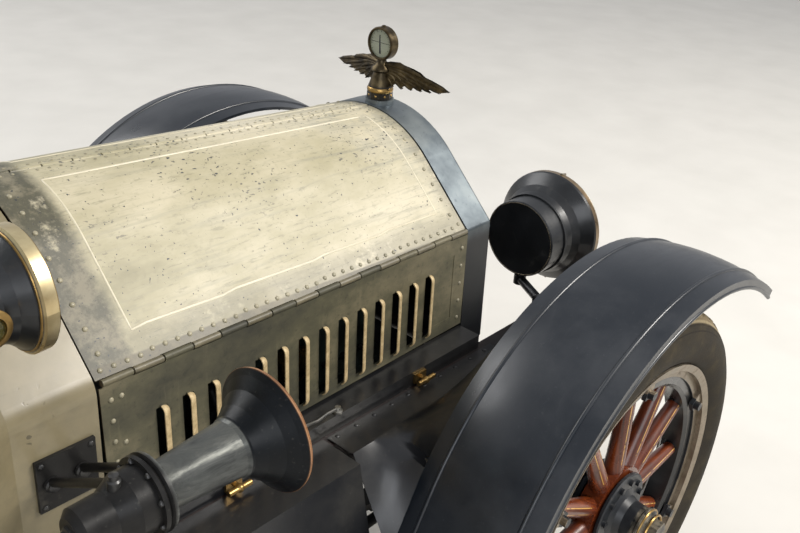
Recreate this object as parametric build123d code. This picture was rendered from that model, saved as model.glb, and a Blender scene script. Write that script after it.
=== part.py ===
from build123d import *
from math import asin, cos, hypot, pi, radians, sin, sqrt, tan
import os

# Open touring car of about 1912: ladder frame, beam axle, wooden wheels, louvred bonnet,
# open body with four doors. Millimetres, +X forward, +Y to the car's left, +Z up.
# Every piece is drawn with x = 0 at the front axle and moved by FRONT_AXLE_X at the end,
# which puts the origin on the ground under the middle of the overall box.

WHEELBASE = 3400.0
TRACK = 1435.0
SEAT = 0.3          # gap between pieces that only touch
SHUT_LINE = 5.0     # gap round a moving panel
BEARING = 0.1       # radial clearance of a pin in its bore

# Wheels
TYRE_RADIUS = 470.0
TYRE_WIDTH = 126.0
RIM_RADIUS = 346.0
RIM_WIDTH = 92.0
RIM_FLANGE = 12.0
FELLOE_OUTER = 322.0
FELLOE_DEPTH = 26.0
FELLOE_WIDTH = 58.0
SPOKES = 12
SPOKE_HUB = 22.0            # radius at each end
SPOKE_RIM = 16.0
HUB_WOOD_RADIUS = 104.0
HUB_WOOD_WIDTH = 56.0
HUB_FLANGE_RADIUS = 96.0
HUB_FLANGE_THICK = 9.0
HUB_BARREL_RADIUS = 46.0
HUB_NOSE = 106.0            # turned part of the hub, out from the wheel's middle
HUB_CAP_REACH = 130.0
HUB_BOLTS = 12
HUB_BOLT_CIRCLE = 78.0
RIM_CLAMPS = 6
SPINDLE_RADIUS = 24.0
DRUM_RADIUS = 178.0
DRUM_WIDTH = 62.0
DRUM_WALL = 7.0

# Front axle and steering
KINGPIN_Y = 618.0
KINGPIN_RADIUS = 13.0
BOSS_RADIUS = 27.0
BOSS_HEIGHT = 74.0
KNUCKLE_EYE = 22.0          # height of each eye above and below the boss
AXLE_DROP = 62.0
AXLE_DEPTH = 52.0
TIE_ARM = (-150.0, KINGPIN_Y)  # tie rod pin, straight behind the kingpin so that the rod stays parallel
TIE_PIN_RADIUS = 8.0
TIE_ROD_RADIUS = 13.0
STEER_ARM = 160.0           # knuckle's upper arm, and the drop arm
BALL_RADIUS = 17.0
DROP_ARM_X = -865.0

# Frame and springs
RAIL_OUTER_Y = 405.0
RAIL_WIDTH = 44.0
RAIL_TOP_Z = 738.0
RAIL_DEPTH = 112.0
RAIL_WALL = 6.0
RAIL_REAR_X = -4020.0
CROSS_RADIUS = 32.0
CROSS_XS = (-15.0, -985.0, -1965.0, -2840.0)
FRONT_SPRING_EYE_X = 560.0
REAR_SPRING_HALF = 600.0
LEAF = 8.0
FRONT_LEAVES = 6
REAR_LEAVES = 7
FRONT_CAMBER = 52.0
REAR_CAMBER = 14.0
SPRING_WIDTH = 44.0
SPRING_EYE = 17.0
FRONT_SPRING_Z = 452.0      # underside of each spring at its axle
REAR_SPRING_Z = 520.0
TOW_EYE_X = -4090.0
TOW_EYE_RADIUS = 30.0
RAIL_TIP = 22.0              # rail's front end, ahead of the spring eye
FRONT_AXLE_X = -(FRONT_SPRING_EYE_X + RAIL_TIP + TOW_EYE_X - TOW_EYE_RADIUS) / 2
TOW_HOLE = 16.0

# Radiator and bonnet
HOOD_FRONT_X = -57.0
HOOD_REAR_X = -953.0
HOOD_FRONT = (309.0, 1000.0, 1198.0)    # half width, corner height, crown height
HOOD_REAR = (323.0, 1022.0, 1244.0)
SHOULDER = 43.9                         # slope of the shoulder at the corner, degrees
HOOD_SHEET = 2.5
HOOD_FOOT_Z = 778.0
HOOD_LEAN = 7.0
HINGE_PIN = 3.0
HINGE_WALL = 2.5
HINGE_KNUCKLES = 8
SHELL_DEPTH = 84.0
TANK_SIDE = 26.0
TANK_TOP = 92.0
CORE_FINS = 30
CATCH_XS = (-262.0, -748.0)
PAN_XS = (-90.0, -940.0)      # front and rear of the sheets beside the crankcase
CRANKCASE_HALF = 165.0
LOUVRES = 14
LOUVRE_PITCH = 51.0
LOUVRE_FIRST = 105.0        # from the side panel's rear edge
LOUVRE_TOP = 60.0           # below the panel's front corner
LOUVRE_LENGTH = 150.0
LOUVRE_RADIUS = 14.0
LOUVRE_SHEET = 2.0

# Cowl and body; each section is x, half width, corner height, crown height, shoulder slope,
# corner radius
COWL_SECTIONS = (
    (-968.0, 348.0, 1040.0, 1262.0, 43.9, 46.0),
    (-1100.0, 348.0, 1040.0, 1262.0, 43.9, 46.0),
    (-1280.0, 442.0, 1128.0, 1276.0, 30.0, 60.0),
    (-1450.0, 520.0, 1200.0, 1290.0, 17.0, 60.0),
)
COWL_WALL = 12.0
FIREWALL_SHEET = 18.0
FIREWALL_X = COWL_SECTIONS[0][0] - 8      # its front face
SILL_Z = 742.0
BELT_Z = 1212.0
TONNEAU_Z = 1320.0
BODY_WALL = 28.0
BODY_FRONT = (-1450.5, 520.0)
BODY_WAIST = (-2150.0, 564.0)
BODY_REAR_X = -3900.0
BODY_CORNER = 240.0
FLOOR_Z = 764.0
FLOOR_SHEET = 18.0
DOORS = {"front": (-1545.0, -1995.0), "rear": (-2440.0, -2890.0)}
DOOR_FOOT_Z = 792.0
DOOR_HINGE_ZS = (872.0, 1120.0)
DOOR_PIN = 5.0
DOOR_KNUCKLE = 9.0

# Wings, boards and aprons
WING_YS = {"front": (554.0, 814.0), "rear": (585.0, 835.0)}    # inner and outer edge
WING_ENDS = {"front": 54.0, "rear": 24.0}    # tip, in degrees above the line from the arc's centre
WING_AHEAD = 61.0       # arc's centre, out from the axle
WING_CENTRE_Z = 416.0
WING_SHEET = 2.5
WING_RADIUS = 611.0
WING_LIP = 18.0
WING_BEAD = 4.5
WING_BEAD_INSET = 38.0
BOARD_TOP_Z = 430.0
BOARD_THICK = 26.0
BOARD_FRONT_X = -830.0
BOARD_REAR_X = -2880.0

# Lamps and horn: place is x, y, z
LAMP_PLACE = (263.0, 290.0, 901.0)
LAMP_DRUM = 93.0
LAMP_RIM = 136.0
SIDE_LAMP_PLACE = (-1143.0, 432.0, 1283.0)
SIDE_LAMP_DRUM = 54.0
SIDE_LAMP_RIM = 79.0
HORN_PLACE = (-914.0, 655.0, 1110.0)    # middle of the bell's mouth, on the right
HORN_BELL = 83.0
HORN_TUBE = 37.0
HORN_FLANGE = 48.0
GAUGE_PLACE = (-22.0, 0.0, 1330.0)
GAUGE_RADIUS = 36.0

AXLE_Z = TYRE_RADIUS
WHEEL_Y = TRACK / 2
FRONT_EYE_Z = FRONT_SPRING_Z + FRONT_LEAVES * LEAF + FRONT_CAMBER
REAR_EYE_Z = REAR_SPRING_Z + REAR_LEAVES * LEAF + REAR_CAMBER
RAIL_LOW_Z = RAIL_TOP_Z - RAIL_DEPTH
RAIL_INNER_Y = RAIL_OUTER_Y - RAIL_WIDTH
CHANNEL_Y = RAIL_OUTER_Y - RAIL_WALL
CROSS_Z = RAIL_TOP_Z - RAIL_DEPTH / 2
SPRING_Y = RAIL_OUTER_Y - RAIL_WIDTH / 2


def box(x0, x1, y0, y1, z0, z1):
    return Pos((x0 + x1) / 2, (y0 + y1) / 2, (z0 + z1) / 2) * Box(abs(x1 - x0), abs(y1 - y0), abs(z1 - z0))


def rod(start, end, radius):
    start, end = Vector(*start), Vector(*end)
    bar = Cylinder(radius, (end - start).length, align=(Align.CENTER, Align.CENTER, Align.MIN))
    return Plane(origin=start, z_dir=end - start) * bar


def outline(*points):
    return make_face(Polyline(*points, close=True))


def prism_y(face, y0, y1):
    """A face drawn as (x, z), made solid from y0 to y1."""
    return Pos(0, y1, 0) * Rot(90, 0, 0) * extrude(face, y1 - y0)


def prism_x(face, x0, x1):
    """A face drawn as (y, z), made solid from x0 to x1."""
    return extrude(Plane.YZ.offset(x0) * face, x1 - x0)


def other_side(shape):
    return shape.mirror(Plane.XZ)


def fused(first, *others):
    """One solid from pieces that overlap."""
    for other in others:
        first = first + other
    return first


def group(*shapes):
    """Solids that share a node and don't touch."""
    return Compound([solid for shape in shapes for solid in shape.solids()])


def both_sides(shape):
    return group(shape, other_side(shape))


def turned_y(*points):
    """A solid of revolution about Y from (radius, y) corners."""
    return revolve(outline(*points), Axis.Y)


def turned_x(place, *points):
    """A solid of revolution about X through place, from (x, radius) corners."""
    return Pos(*place) * revolve(outline(*points), Axis.X)


# Wheels, each about Y at the origin with its outer face towards +Y

def tyre():
    bead, shoulder, half = RIM_RADIUS + SEAT, TYRE_RADIUS - 14, TYRE_WIDTH / 2
    edge, lip = RIM_WIDTH / 2 - 7, RIM_RADIUS + RIM_FLANGE
    waist = (bead + TYRE_RADIUS) / 2
    section = [Line((bead, -edge), (bead, edge))]
    for s in (1, -1):
        section.append(Line((bead, s * edge), (lip, s * (edge + 5))))
        section.append(ThreePointArc((lip, s * (edge + 5)), (waist, s * half), (shoulder, s * (half - 22))))
    section.append(ThreePointArc((shoulder, half - 22), (TYRE_RADIUS, 0), (shoulder, 22 - half)))
    return revolve(make_face(section), Axis.Y)


def rim():
    """Demountable rim over the felloe band, with the clamps that hold it."""
    half, seat, lip = RIM_WIDTH / 2, RIM_RADIUS, RIM_RADIUS + RIM_FLANGE
    band, band_half = FELLOE_OUTER + SEAT, FELLOE_WIDTH / 2 + 5
    ring = turned_y(
        (band, -band_half), (seat - 5, -band_half), (seat - 5, -half), (lip, -half - 5), (lip, -half),
        (seat, 5 - half), (seat, half - 5), (lip, half), (lip, half + 5), (seat - 5, half),
        (seat - 5, band_half), (band, band_half),
    )
    for k in range(RIM_CLAMPS):
        lug = box(FELLOE_OUTER - 17, seat - 3, band_half - 1, band_half + 8, -15, 15)
        nut = rod((FELLOE_OUTER - 6, band_half, 0), (FELLOE_OUTER - 6, band_half + 20, 0), 10)
        ring += Rot(0, (k + 0.5) * 360 / RIM_CLAMPS, 0) * fused(lug, nut)
    return ring


def spoke():
    """One spoke along +X: stout at the hub, slimmer and round at the felloe."""
    start, end = HUB_WOOD_RADIUS - 8, FELLOE_OUTER - FELLOE_DEPTH + 4
    taper = Cone(SPOKE_HUB, SPOKE_RIM, end - start, align=(Align.CENTER, Align.CENTER, Align.MIN))
    return Pos(start, 0, 0) * Rot(0, 90, 0) * taper


def wooden_wheel():
    inner, half = FELLOE_OUTER - FELLOE_DEPTH, FELLOE_WIDTH / 2
    felloe = turned_y(
        (inner, 6 - half), (inner + 8, -half), (FELLOE_OUTER, -half),
        (FELLOE_OUTER, half), (inner + 8, half), (inner, half - 6),
    )
    half = HUB_WOOD_WIDTH / 2
    bore = HUB_BARREL_RADIUS + SEAT
    centre = turned_y((bore, -half), (HUB_WOOD_RADIUS, 6 - half), (HUB_WOOD_RADIUS, half - 6), (bore, half))
    return fused(felloe, centre, *[Rot(0, k * 360 / SPOKES, 0) * spoke() for k in range(SPOKES)])


def hub(driven):
    """Flanged hub with bolts and a six-sided cap; a driven one carries the brake drum."""
    inside = HUB_WOOD_WIDTH / 2 + SEAT
    outside = inside + HUB_FLANGE_THICK
    bore, inner_end = SPINDLE_RADIUS + BEARING, -56.0
    body = turned_y(
        (bore, inner_end), (52, inner_end), (52, -outside), (HUB_FLANGE_RADIUS, -outside), (HUB_FLANGE_RADIUS, -inside),
        (HUB_BARREL_RADIUS, -inside), (HUB_BARREL_RADIUS, inside), (HUB_FLANGE_RADIUS, inside),
        (HUB_FLANGE_RADIUS, outside - 3), (HUB_FLANGE_RADIUS - 3, outside), (62, outside), (50, outside + 8),
        (44, outside + 22), (42, HUB_NOSE - 18), (48, HUB_NOSE - 14), (48, HUB_NOSE - 9), (44, HUB_NOSE - 5),
        (38, HUB_NOSE), (0, HUB_NOSE), (0, 80), (bore, 80),
    )
    cap = Pos(0, HUB_NOSE - 1, 0) * Rot(-90, 0, 0) * extrude(RegularPolygon(31, 6), HUB_CAP_REACH - HUB_NOSE + 1)
    body = fused(body, cap)
    for k in range(HUB_BOLTS):
        bolt = rod((HUB_BOLT_CIRCLE, outside - 1, 0), (HUB_BOLT_CIRCLE, outside + 7, 0), 7)
        body += Rot(0, (k + 0.5) * 360 / HUB_BOLTS, 0) * bolt
    if driven:
        mouth = -outside - DRUM_WIDTH
        body += turned_y(
            (50, -outside), (DRUM_RADIUS - 6, -outside), (DRUM_RADIUS, -outside - 6), (DRUM_RADIUS, mouth),
            (DRUM_RADIUS - DRUM_WALL, mouth), (DRUM_RADIUS - DRUM_WALL, -outside - DRUM_WALL),
            (50, -outside - DRUM_WALL),
        )
    return body


def wheel_nodes():
    nodes = {}
    for end, x in (("front", 0.0), ("rear", -WHEELBASE)):
        place = Pos(x, WHEEL_Y, AXLE_Z)
        metal = group(place * rim(), place * hub(end == "rear"))
        pieces = {"tyre": place * tyre(), "spokes": place * wooden_wheel(), "rim_and_hub": metal}
        for piece, shape in pieces.items():
            nodes[f"{end}_left_{piece}"] = shape
            nodes[f"{end}_right_{piece}"] = other_side(shape)
    return nodes


# Front axle, knuckles and steering rods

KNUCKLE_REACH = BOSS_HEIGHT / 2 + 0.5
ARM_LOW_Z = AXLE_Z - KNUCKLE_REACH - KNUCKLE_EYE / 2
ARM_HIGH_Z = AXLE_Z + KNUCKLE_REACH + KNUCKLE_EYE / 2
TIE_ROD_Z = ARM_LOW_Z - 30
LINK_Z = ARM_HIGH_Z + 36
LINK_Y = -KINGPIN_Y + STEER_ARM
DROP_PIVOT_Z = LINK_Z + STEER_ARM


def front_axle():
    """Forged I beam, dropped between the spring seats, with a bored boss at each kingpin."""
    drop, deep = AXLE_Z - AXLE_DROP, AXLE_DEPTH / 2
    bend = SPRING_Y + SPRING_WIDTH / 2 + 16
    web = deep - 12
    beam = outline(
        (0, drop + deep), (bend - 10, drop + deep), (KINGPIN_Y - 60, AXLE_Z + 22), (KINGPIN_Y, AXLE_Z + 22),
        (KINGPIN_Y, AXLE_Z - 22), (KINGPIN_Y - 50, AXLE_Z - 22), (bend + 10, drop - deep), (0, drop - deep),
    )
    pocket = outline(
        (-1, drop + web), (bend - 14, drop + web), (KINGPIN_Y - 62, AXLE_Z + 10),
        (KINGPIN_Y - 62, AXLE_Z - 8), (bend + 2, drop - web), (-1, drop - web),
    )
    half = prism_x(beam, -22, 22) - prism_x(pocket, 6, 23) - prism_x(pocket, -23, -6)
    boss = rod((0, KINGPIN_Y, AXLE_Z - BOSS_HEIGHT / 2), (0, KINGPIN_Y, AXLE_Z + BOSS_HEIGHT / 2), BOSS_RADIUS)
    pad = box(-52, 52, SPRING_Y - 30, SPRING_Y + 30, drop + deep - 4, FRONT_SPRING_Z - SEAT)
    bore = rod((0, KINGPIN_Y, 0), (0, KINGPIN_Y, 2 * AXLE_Z), KINGPIN_RADIUS + BEARING)
    half = fused(half, boss, pad) - bore
    return half + other_side(half)


def knuckle():
    """Left stub axle: kingpin and its two eyes, the spindle, and the arm for the tie rod."""
    far = KNUCKLE_REACH + KNUCKLE_EYE
    plate_y = KINGPIN_Y + BOSS_RADIUS + 3
    made = box(-24, 24, plate_y, plate_y + 11, AXLE_Z - far, AXLE_Z + far)
    for s in (-1, 1):
        near_z, far_z = sorted((AXLE_Z + s * KNUCKLE_REACH, AXLE_Z + s * far))
        made += rod((0, KINGPIN_Y, near_z), (0, KINGPIN_Y, far_z), 25)
        made += box(-24, 24, KINGPIN_Y, plate_y + 5, near_z, far_z)
    made += rod((0, KINGPIN_Y, AXLE_Z - far - 6), (0, KINGPIN_Y, AXLE_Z + far + 6), KINGPIN_RADIUS)
    made += rod((0, plate_y + 5, AXLE_Z), (0, WHEEL_Y + 78, AXLE_Z), SPINDLE_RADIUS)
    made += rod((0, KINGPIN_Y, ARM_LOW_Z), (*TIE_ARM, ARM_LOW_Z), 10.5)
    made += rod((*TIE_ARM, ARM_LOW_Z - 11), (*TIE_ARM, ARM_LOW_Z + 11), 17)
    made += rod((*TIE_ARM, TIE_ROD_Z - 20), (*TIE_ARM, ARM_LOW_Z), TIE_PIN_RADIUS)
    return made


def steering_arm():
    """Right knuckle's upper arm, which ends in the drag link's ball."""
    arm = rod((0, -KINGPIN_Y, ARM_HIGH_Z), (0, LINK_Y, ARM_HIGH_Z), 10.5)
    post = rod((0, LINK_Y, ARM_HIGH_Z - 8), (0, LINK_Y, LINK_Z), 8)
    return fused(arm, post, Pos(0, LINK_Y, LINK_Z) * Sphere(BALL_RADIUS))


def tie_rod():
    x, y = TIE_ARM
    bar = rod((x, -y + 12, TIE_ROD_Z), (x, y - 12, TIE_ROD_Z), TIE_ROD_RADIUS)
    for s in (-1, 1):
        bar += rod((x, s * y, TIE_ROD_Z - 15), (x, s * y, TIE_ROD_Z + 15), 19)
        bar -= rod((x, s * y, TIE_ROD_Z - 40), (x, s * y, TIE_ROD_Z + 40), TIE_PIN_RADIUS + BEARING)
    return bar


def drag_link():
    """Rod from the knuckle's ball to just ahead of the drop arm's, where it is left open."""
    socket = rod((-38, LINK_Y, LINK_Z), (28, LINK_Y, LINK_Z), 23)
    socket -= Pos(0, LINK_Y, LINK_Z) * Sphere(BALL_RADIUS + SEAT)
    socket -= rod((0, LINK_Y, LINK_Z - 40), (0, LINK_Y, LINK_Z), 13)
    face = DROP_ARM_X + BALL_RADIUS + 4
    shank = rod((-36, LINK_Y, LINK_Z), (face + 1, LINK_Y, LINK_Z), 11)
    return fused(socket, shank, rod((face, LINK_Y, LINK_Z), (face + 46, LINK_Y, LINK_Z), 20))


def drop_arm():
    """Arm on the steering box's shaft, outside the right rail, with its ball at the foot."""
    near = -RAIL_OUTER_Y - 8
    shaft = rod((DROP_ARM_X, -RAIL_INNER_Y + 40, DROP_PIVOT_Z), (DROP_ARM_X, near - 12, DROP_PIVOT_Z), 14)
    boss = rod((DROP_ARM_X, near, DROP_PIVOT_Z), (DROP_ARM_X, near - 22, DROP_PIVOT_Z), 18)
    blade = prism_y(outline(
        (DROP_ARM_X - 16, DROP_PIVOT_Z), (DROP_ARM_X + 16, DROP_PIVOT_Z),
        (DROP_ARM_X + 13, LINK_Z - 12), (DROP_ARM_X - 13, LINK_Z - 12),
    ), near - 18, near - 4)
    pin = rod((DROP_ARM_X, near - 6, LINK_Z), (DROP_ARM_X, LINK_Y, LINK_Z), 9)
    return fused(shaft, boss, blade, pin, Pos(DROP_ARM_X, LINK_Y, LINK_Z) * Sphere(BALL_RADIUS))


# Steering column: from the box inside the right rail up to the wheel
COLUMN_Y = -262.0
COLUMN_FOOT = (DROP_ARM_X, COLUMN_Y, DROP_PIVOT_Z)
COLUMN_TOP = (-1650.0, COLUMN_Y, 1215.0)
COLUMN_RADIUS = 19.0
STEERING_WHEEL = 205.0


def along_column(distance):
    """Point on the column's axis, measured down from its top."""
    top, foot = Vector(*COLUMN_TOP), Vector(*COLUMN_FOOT)
    return tuple(top + (foot - top).normalized() * distance)


def steering_column():
    """Box on the rail, bored for the drop arm's shaft, and the fixed outer tube."""
    casing = box(
        DROP_ARM_X - 58, DROP_ARM_X + 58, SEAT - CHANNEL_Y, COLUMN_Y + 32, RAIL_LOW_Z + 34, RAIL_TOP_Z - RAIL_WALL - 1
    )
    mast = rod(COLUMN_FOOT, along_column(40), COLUMN_RADIUS)
    bore = rod((DROP_ARM_X, -RAIL_OUTER_Y, DROP_PIVOT_Z), (DROP_ARM_X, -RAIL_INNER_Y + 41, DROP_PIVOT_Z), 14 + BEARING)
    mast -= rod(along_column(39), along_column(141), 11 + BEARING)
    return fused(casing, mast) - bore


def steering_wheel():
    """Four-spoke wheel on a short shaft in the column's head, built flat and then tilted."""
    ring = revolve(Plane.XZ * Pos(STEERING_WHEEL, 0) * RegularPolygon(13.5, 10), Axis.Z)
    hub_cap = Pos(0, 0, -18) * Cylinder(34, 24)
    shaft = Pos(0, 0, -84) * Cylinder(11, 110)
    wheel = fused(ring, hub_cap, shaft)
    for k in range(4):
        wheel += Rot(0, 0, 45 + 90 * k) * rod((20, 0, -16), (STEERING_WHEEL, 0, 0), 8)
    up = Vector(*COLUMN_TOP) - Vector(*COLUMN_FOOT)
    return Plane(origin=COLUMN_TOP, z_dir=up) * wheel


# Frame, springs and rear axle

def rail_outline(inset):
    """Rail seen from the side, drawn in by inset; its front end curves down to the spring eye."""
    top, low, tip = RAIL_TOP_Z - inset, RAIL_LOW_Z + inset, FRONT_SPRING_EYE_X
    return make_face([
        Line((RAIL_REAR_X + inset, low), (RAIL_REAR_X + inset, top)), Line((RAIL_REAR_X + inset, top), (170, top)),
        ThreePointArc((170, top), (400, top - 55), (tip + RAIL_TIP - inset, FRONT_EYE_Z + 34)),
        Line((tip + RAIL_TIP - inset, FRONT_EYE_Z + 34), (tip - 22 + inset, FRONT_EYE_Z + 24)),
        ThreePointArc((tip - 22 + inset, FRONT_EYE_Z + 24), (370, low - 22), (200, low)),
        Line((200, low), (RAIL_REAR_X + inset, low)),
    ])


def chassis_frame():
    """Channel rails that open inwards, tubular cross members, spring hangers and a tow eye."""
    rail = prism_y(rail_outline(0), RAIL_INNER_Y, RAIL_OUTER_Y)
    rail -= prism_y(rail_outline(RAIL_WALL), RAIL_INNER_Y - 1, RAIL_OUTER_Y - RAIL_WALL)
    tip, y0, y1 = FRONT_SPRING_EYE_X, SPRING_Y - SPRING_WIDTH / 2, SPRING_Y + SPRING_WIDTH / 2
    hangers = [
        box(tip - 20, tip + 20, y0, y1, FRONT_EYE_Z + SPRING_EYE + SEAT, FRONT_EYE_Z + 36),
        box(-tip - 20, -tip + 20, y0, y1, RAIL_LOW_Z - 22, RAIL_LOW_Z + 3),
    ]
    for s in (-1, 1):
        x = -WHEELBASE + s * REAR_SPRING_HALF
        hangers.append(box(x - 20, x + 20, y0, y1, REAR_EYE_Z + SPRING_EYE + SEAT, RAIL_LOW_Z + 3))
    shaft_hole = rod((DROP_ARM_X, 0, DROP_PIVOT_Z), (DROP_ARM_X, RAIL_OUTER_Y + 9, DROP_PIVOT_Z), 14 + BEARING)
    left = fused(rail, *hangers)
    reach = RAIL_OUTER_Y - RAIL_WALL - SEAT
    tubes = [
        rod((x, -reach, CROSS_Z), (x, reach, CROSS_Z), CROSS_RADIUS) for x in (*CROSS_XS, RAIL_REAR_X + 40)
    ]
    tail = fused(
        tubes.pop(),
        box(TOW_EYE_X, RAIL_REAR_X + 40, -9, 9, 656, 708),
        rod((TOW_EYE_X, -9, 682), (TOW_EYE_X, 9, 682), TOW_EYE_RADIUS),
    )
    tail -= rod((TOW_EYE_X, -10, 682), (TOW_EYE_X, 10, 682), TOW_HOLE)
    return group(left, other_side(left - shaft_hole), *tubes, tail)


def leaf_pack(half_span, camber, leaves):
    """Leaf spring about its middle: main leaf on top, underside of the pack at z = 0."""
    radius = (half_span ** 2 + camber ** 2) / (2 * camber)
    lift = leaves * LEAF
    pack = None
    for k in range(leaves):
        reach = asin(half_span / radius) * (1 - 0.8 * k / leaves)
        inner, outer = radius + k * LEAF - 0.01, radius + (k + 1) * LEAF
        near = [(s * inner * sin(reach), lift + radius - inner * cos(reach)) for s in (-1, 1)]
        far = [(s * outer * sin(reach), lift + radius - outer * cos(reach)) for s in (-1, 1)]
        leaf = make_face([
            ThreePointArc(near[0], (0, lift + radius - inner), near[1]), Line(near[1], far[1]),
            ThreePointArc(far[1], (0, lift + radius - outer), far[0]), Line(far[0], near[0]),
        ])
        leaf = prism_y(leaf, -SPRING_WIDTH / 2, SPRING_WIDTH / 2)
        pack = leaf if pack is None else pack + leaf
    for s in (-1, 1):
        end = (s * half_span, -SPRING_WIDTH / 2, lift + camber)
        pack += rod(end, (s * half_span, SPRING_WIDTH / 2, lift + camber), SPRING_EYE)
    return pack


def leaf_springs():
    """Two springs a side, each clamped over its axle; the front one hangs in a shackle behind."""
    front = Pos(0, SPRING_Y, FRONT_SPRING_Z) * leaf_pack(FRONT_SPRING_EYE_X, FRONT_CAMBER, FRONT_LEAVES)
    y0, y1 = SPRING_Y - SPRING_WIDTH / 2, SPRING_Y + SPRING_WIDTH / 2
    front += box(-FRONT_SPRING_EYE_X - 11, -FRONT_SPRING_EYE_X + 11, y0, y1, FRONT_EYE_Z, RAIL_LOW_Z - 22 - SEAT)
    rear = Pos(-WHEELBASE, SPRING_Y, REAR_SPRING_Z) * leaf_pack(REAR_SPRING_HALF, REAR_CAMBER, REAR_LEAVES)
    for x, z, leaves in ((0, FRONT_SPRING_Z, FRONT_LEAVES), (-WHEELBASE, REAR_SPRING_Z, REAR_LEAVES)):
        clamp = box(x - 45, x + 45, y0, y1, z + 2, z + leaves * LEAF + 14)
        if x == 0:
            front += clamp
        else:
            rear += clamp
    return both_sides(group(front, rear))


def rear_axle():
    """Live axle: cast middle, tapering tubes, brake backing plates, spindles and torque tube."""
    plate_y = WHEEL_Y - HUB_WOOD_WIDTH / 2 - HUB_FLANGE_THICK - DRUM_WIDTH + 4
    shell = turned_y(
        (0, -150), (60, -142), (128, -80), (152, 0), (128, 80), (60, 142), (0, 150),
    )
    half = turned_y(
        (0, 120), (52, 120), (44, 240), (38, plate_y - 8), (38, plate_y), (DRUM_RADIUS - DRUM_WALL - 3, plate_y),
        (DRUM_RADIUS - DRUM_WALL - 3, plate_y + 6), (34, plate_y + 6), (34, plate_y + 20),
        (SPINDLE_RADIUS, plate_y + 22),
        (SPINDLE_RADIUS, WHEEL_Y + 78), (0, WHEEL_Y + 78),
    )
    half += box(-50, 50, SPRING_Y - 30, SPRING_Y + 30, 28, REAR_SPRING_Z - SEAT - AXLE_Z)
    torque = rod((40, 0, 0), (GEARBOX_REAR_X + 8 + WHEELBASE, 0, GEARBOX_Z - AXLE_Z), 42)
    axle = Pos(-WHEELBASE, 0, AXLE_Z) * fused(shell, half, other_side(half), torque)
    return axle - box(GEARBOX_REAR_X - SEAT, GEARBOX_REAR_X + 200, -90, 90, GEARBOX_Z - 90, GEARBOX_Z + 90)


GEARBOX_REAR_X = -2060.0
GEARBOX_Z = 560.0
ENGINE_HALF = 120.0


def engine():
    """Block and crankcase as one plain mass, on four arms to the rails."""
    made = fused(
        box(-820, -150, -ENGINE_HALF, ENGINE_HALF, 640, 1040),
        box(-860, -120, -CRANKCASE_HALF, CRANKCASE_HALF, 470, 660),
        rod((-900, 0, GEARBOX_Z), (-860, 0, GEARBOX_Z), 150),
    )
    for x in (-240, -760):
        made += box(x - 30, x + 30, SEAT - CHANNEL_Y, CHANNEL_Y - SEAT, RAIL_LOW_Z + RAIL_WALL + SEAT, RAIL_LOW_Z + 32)
    return made


def gearbox():
    """Gear case slung between two cross members, with the shaft that joins it to the engine."""
    case = fused(
        box(-1960, -1560, -125, 125, 455, 640), box(-1780, -1560, -90, 90, 630, 668),
        rod((GEARBOX_REAR_X, 0, GEARBOX_Z), (-1950, 0, GEARBOX_Z), 70),
        rod((-1570, 0, GEARBOX_Z), (-900 - SEAT, 0, GEARBOX_Z), 32),
    )
    for s in (-1, 1):
        case += box(-1990, -1940, s * 60 - 18, s * 60 + 18, 560, CROSS_Z - CROSS_RADIUS - SEAT)
        case += box(-1640, -1600, s * (CHANNEL_Y - SEAT), s * 85, RAIL_LOW_Z + RAIL_WALL + SEAT, RAIL_LOW_Z + 34)
    return case


def pipe(points, radius, bend):
    """Round pipe along straight runs joined by bends."""
    path = FilletPolyline(*points, radius=bend)
    return sweep(Plane(origin=path @ 0, z_dir=path % 0) * Circle(radius), path=path)


EXHAUST_Y = 236.0
EXHAUST_RADIUS = 24.0
DOWN_PIPE_X = -690.0


def exhaust():
    """Manifold on the block's left, pipe and drum silencer under the body, hung from a cross member."""
    x, y, z, radius = DOWN_PIPE_X, EXHAUST_Y, 560.0, EXHAUST_RADIUS
    side = ENGINE_HALF + radius + SEAT
    run = pipe(((-200, side, 905), (x, side, 905), (x, y, 770), (x, y, z), (-2240, y, z)), radius, 58)
    silencer = rod((-2230, y, z), (-2860, y, z), 72)
    tail = pipe(((-2850, y, z + 20), (-3560, y, z + 60), (RAIL_REAR_X - 60, y, z + 20)), 20, 200)
    hanger = box(-2850, -2830, y - 12, y + 12, z + 60, CROSS_Z - CROSS_RADIUS - SEAT)
    return fused(run, silencer, tail, hanger)


def mud_pans():
    """Sheets under the bonnet, one each side, from the crankcase to the underside of the rail."""
    z = RAIL_LOW_Z - SEAT
    sheet = box(PAN_XS[1], PAN_XS[0], CRANKCASE_HALF + SEAT, RAIL_OUTER_Y - 10, z - 2.5, z)
    sheet -= box(-FRONT_SPRING_EYE_X - 22, -FRONT_SPRING_EYE_X + 22, RAIL_INNER_Y - 3, RAIL_OUTER_Y, z - 4, z + 1)
    pipe_hole = rod((DOWN_PIPE_X, EXHAUST_Y, z - 5), (DOWN_PIPE_X, EXHAUST_Y, z + 5), EXHAUST_RADIUS + 7)
    return group(sheet - pipe_hole, other_side(sheet))


def fuel_tank():
    """Drum tank across the frame's tail, strapped to the last cross member."""
    x, z, radius = RAIL_REAR_X + 190.0, 590.0, 105.0
    tank = rod((x, -170, z), (x, 170, z), radius)
    for s in (-1, 1):
        tank += rod((x, s * 120 - 15, z), (x, s * 120 + 15, z), radius + 4)
        tank += box(x, RAIL_REAR_X + 46, s * 120 - 15, s * 120 + 15, z + 35, z + 41)
        cross_low = CROSS_Z - CROSS_RADIUS - SEAT
        tank += box(RAIL_REAR_X + 28, RAIL_REAR_X + 52, s * 120 - 15, s * 120 + 15, z + 35, cross_low)
    filler = rod((x, 0, z + radius - 4), (x, 0, z + radius + 22), 30)
    return fused(tank, filler)


# Radiator and bonnet

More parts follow.
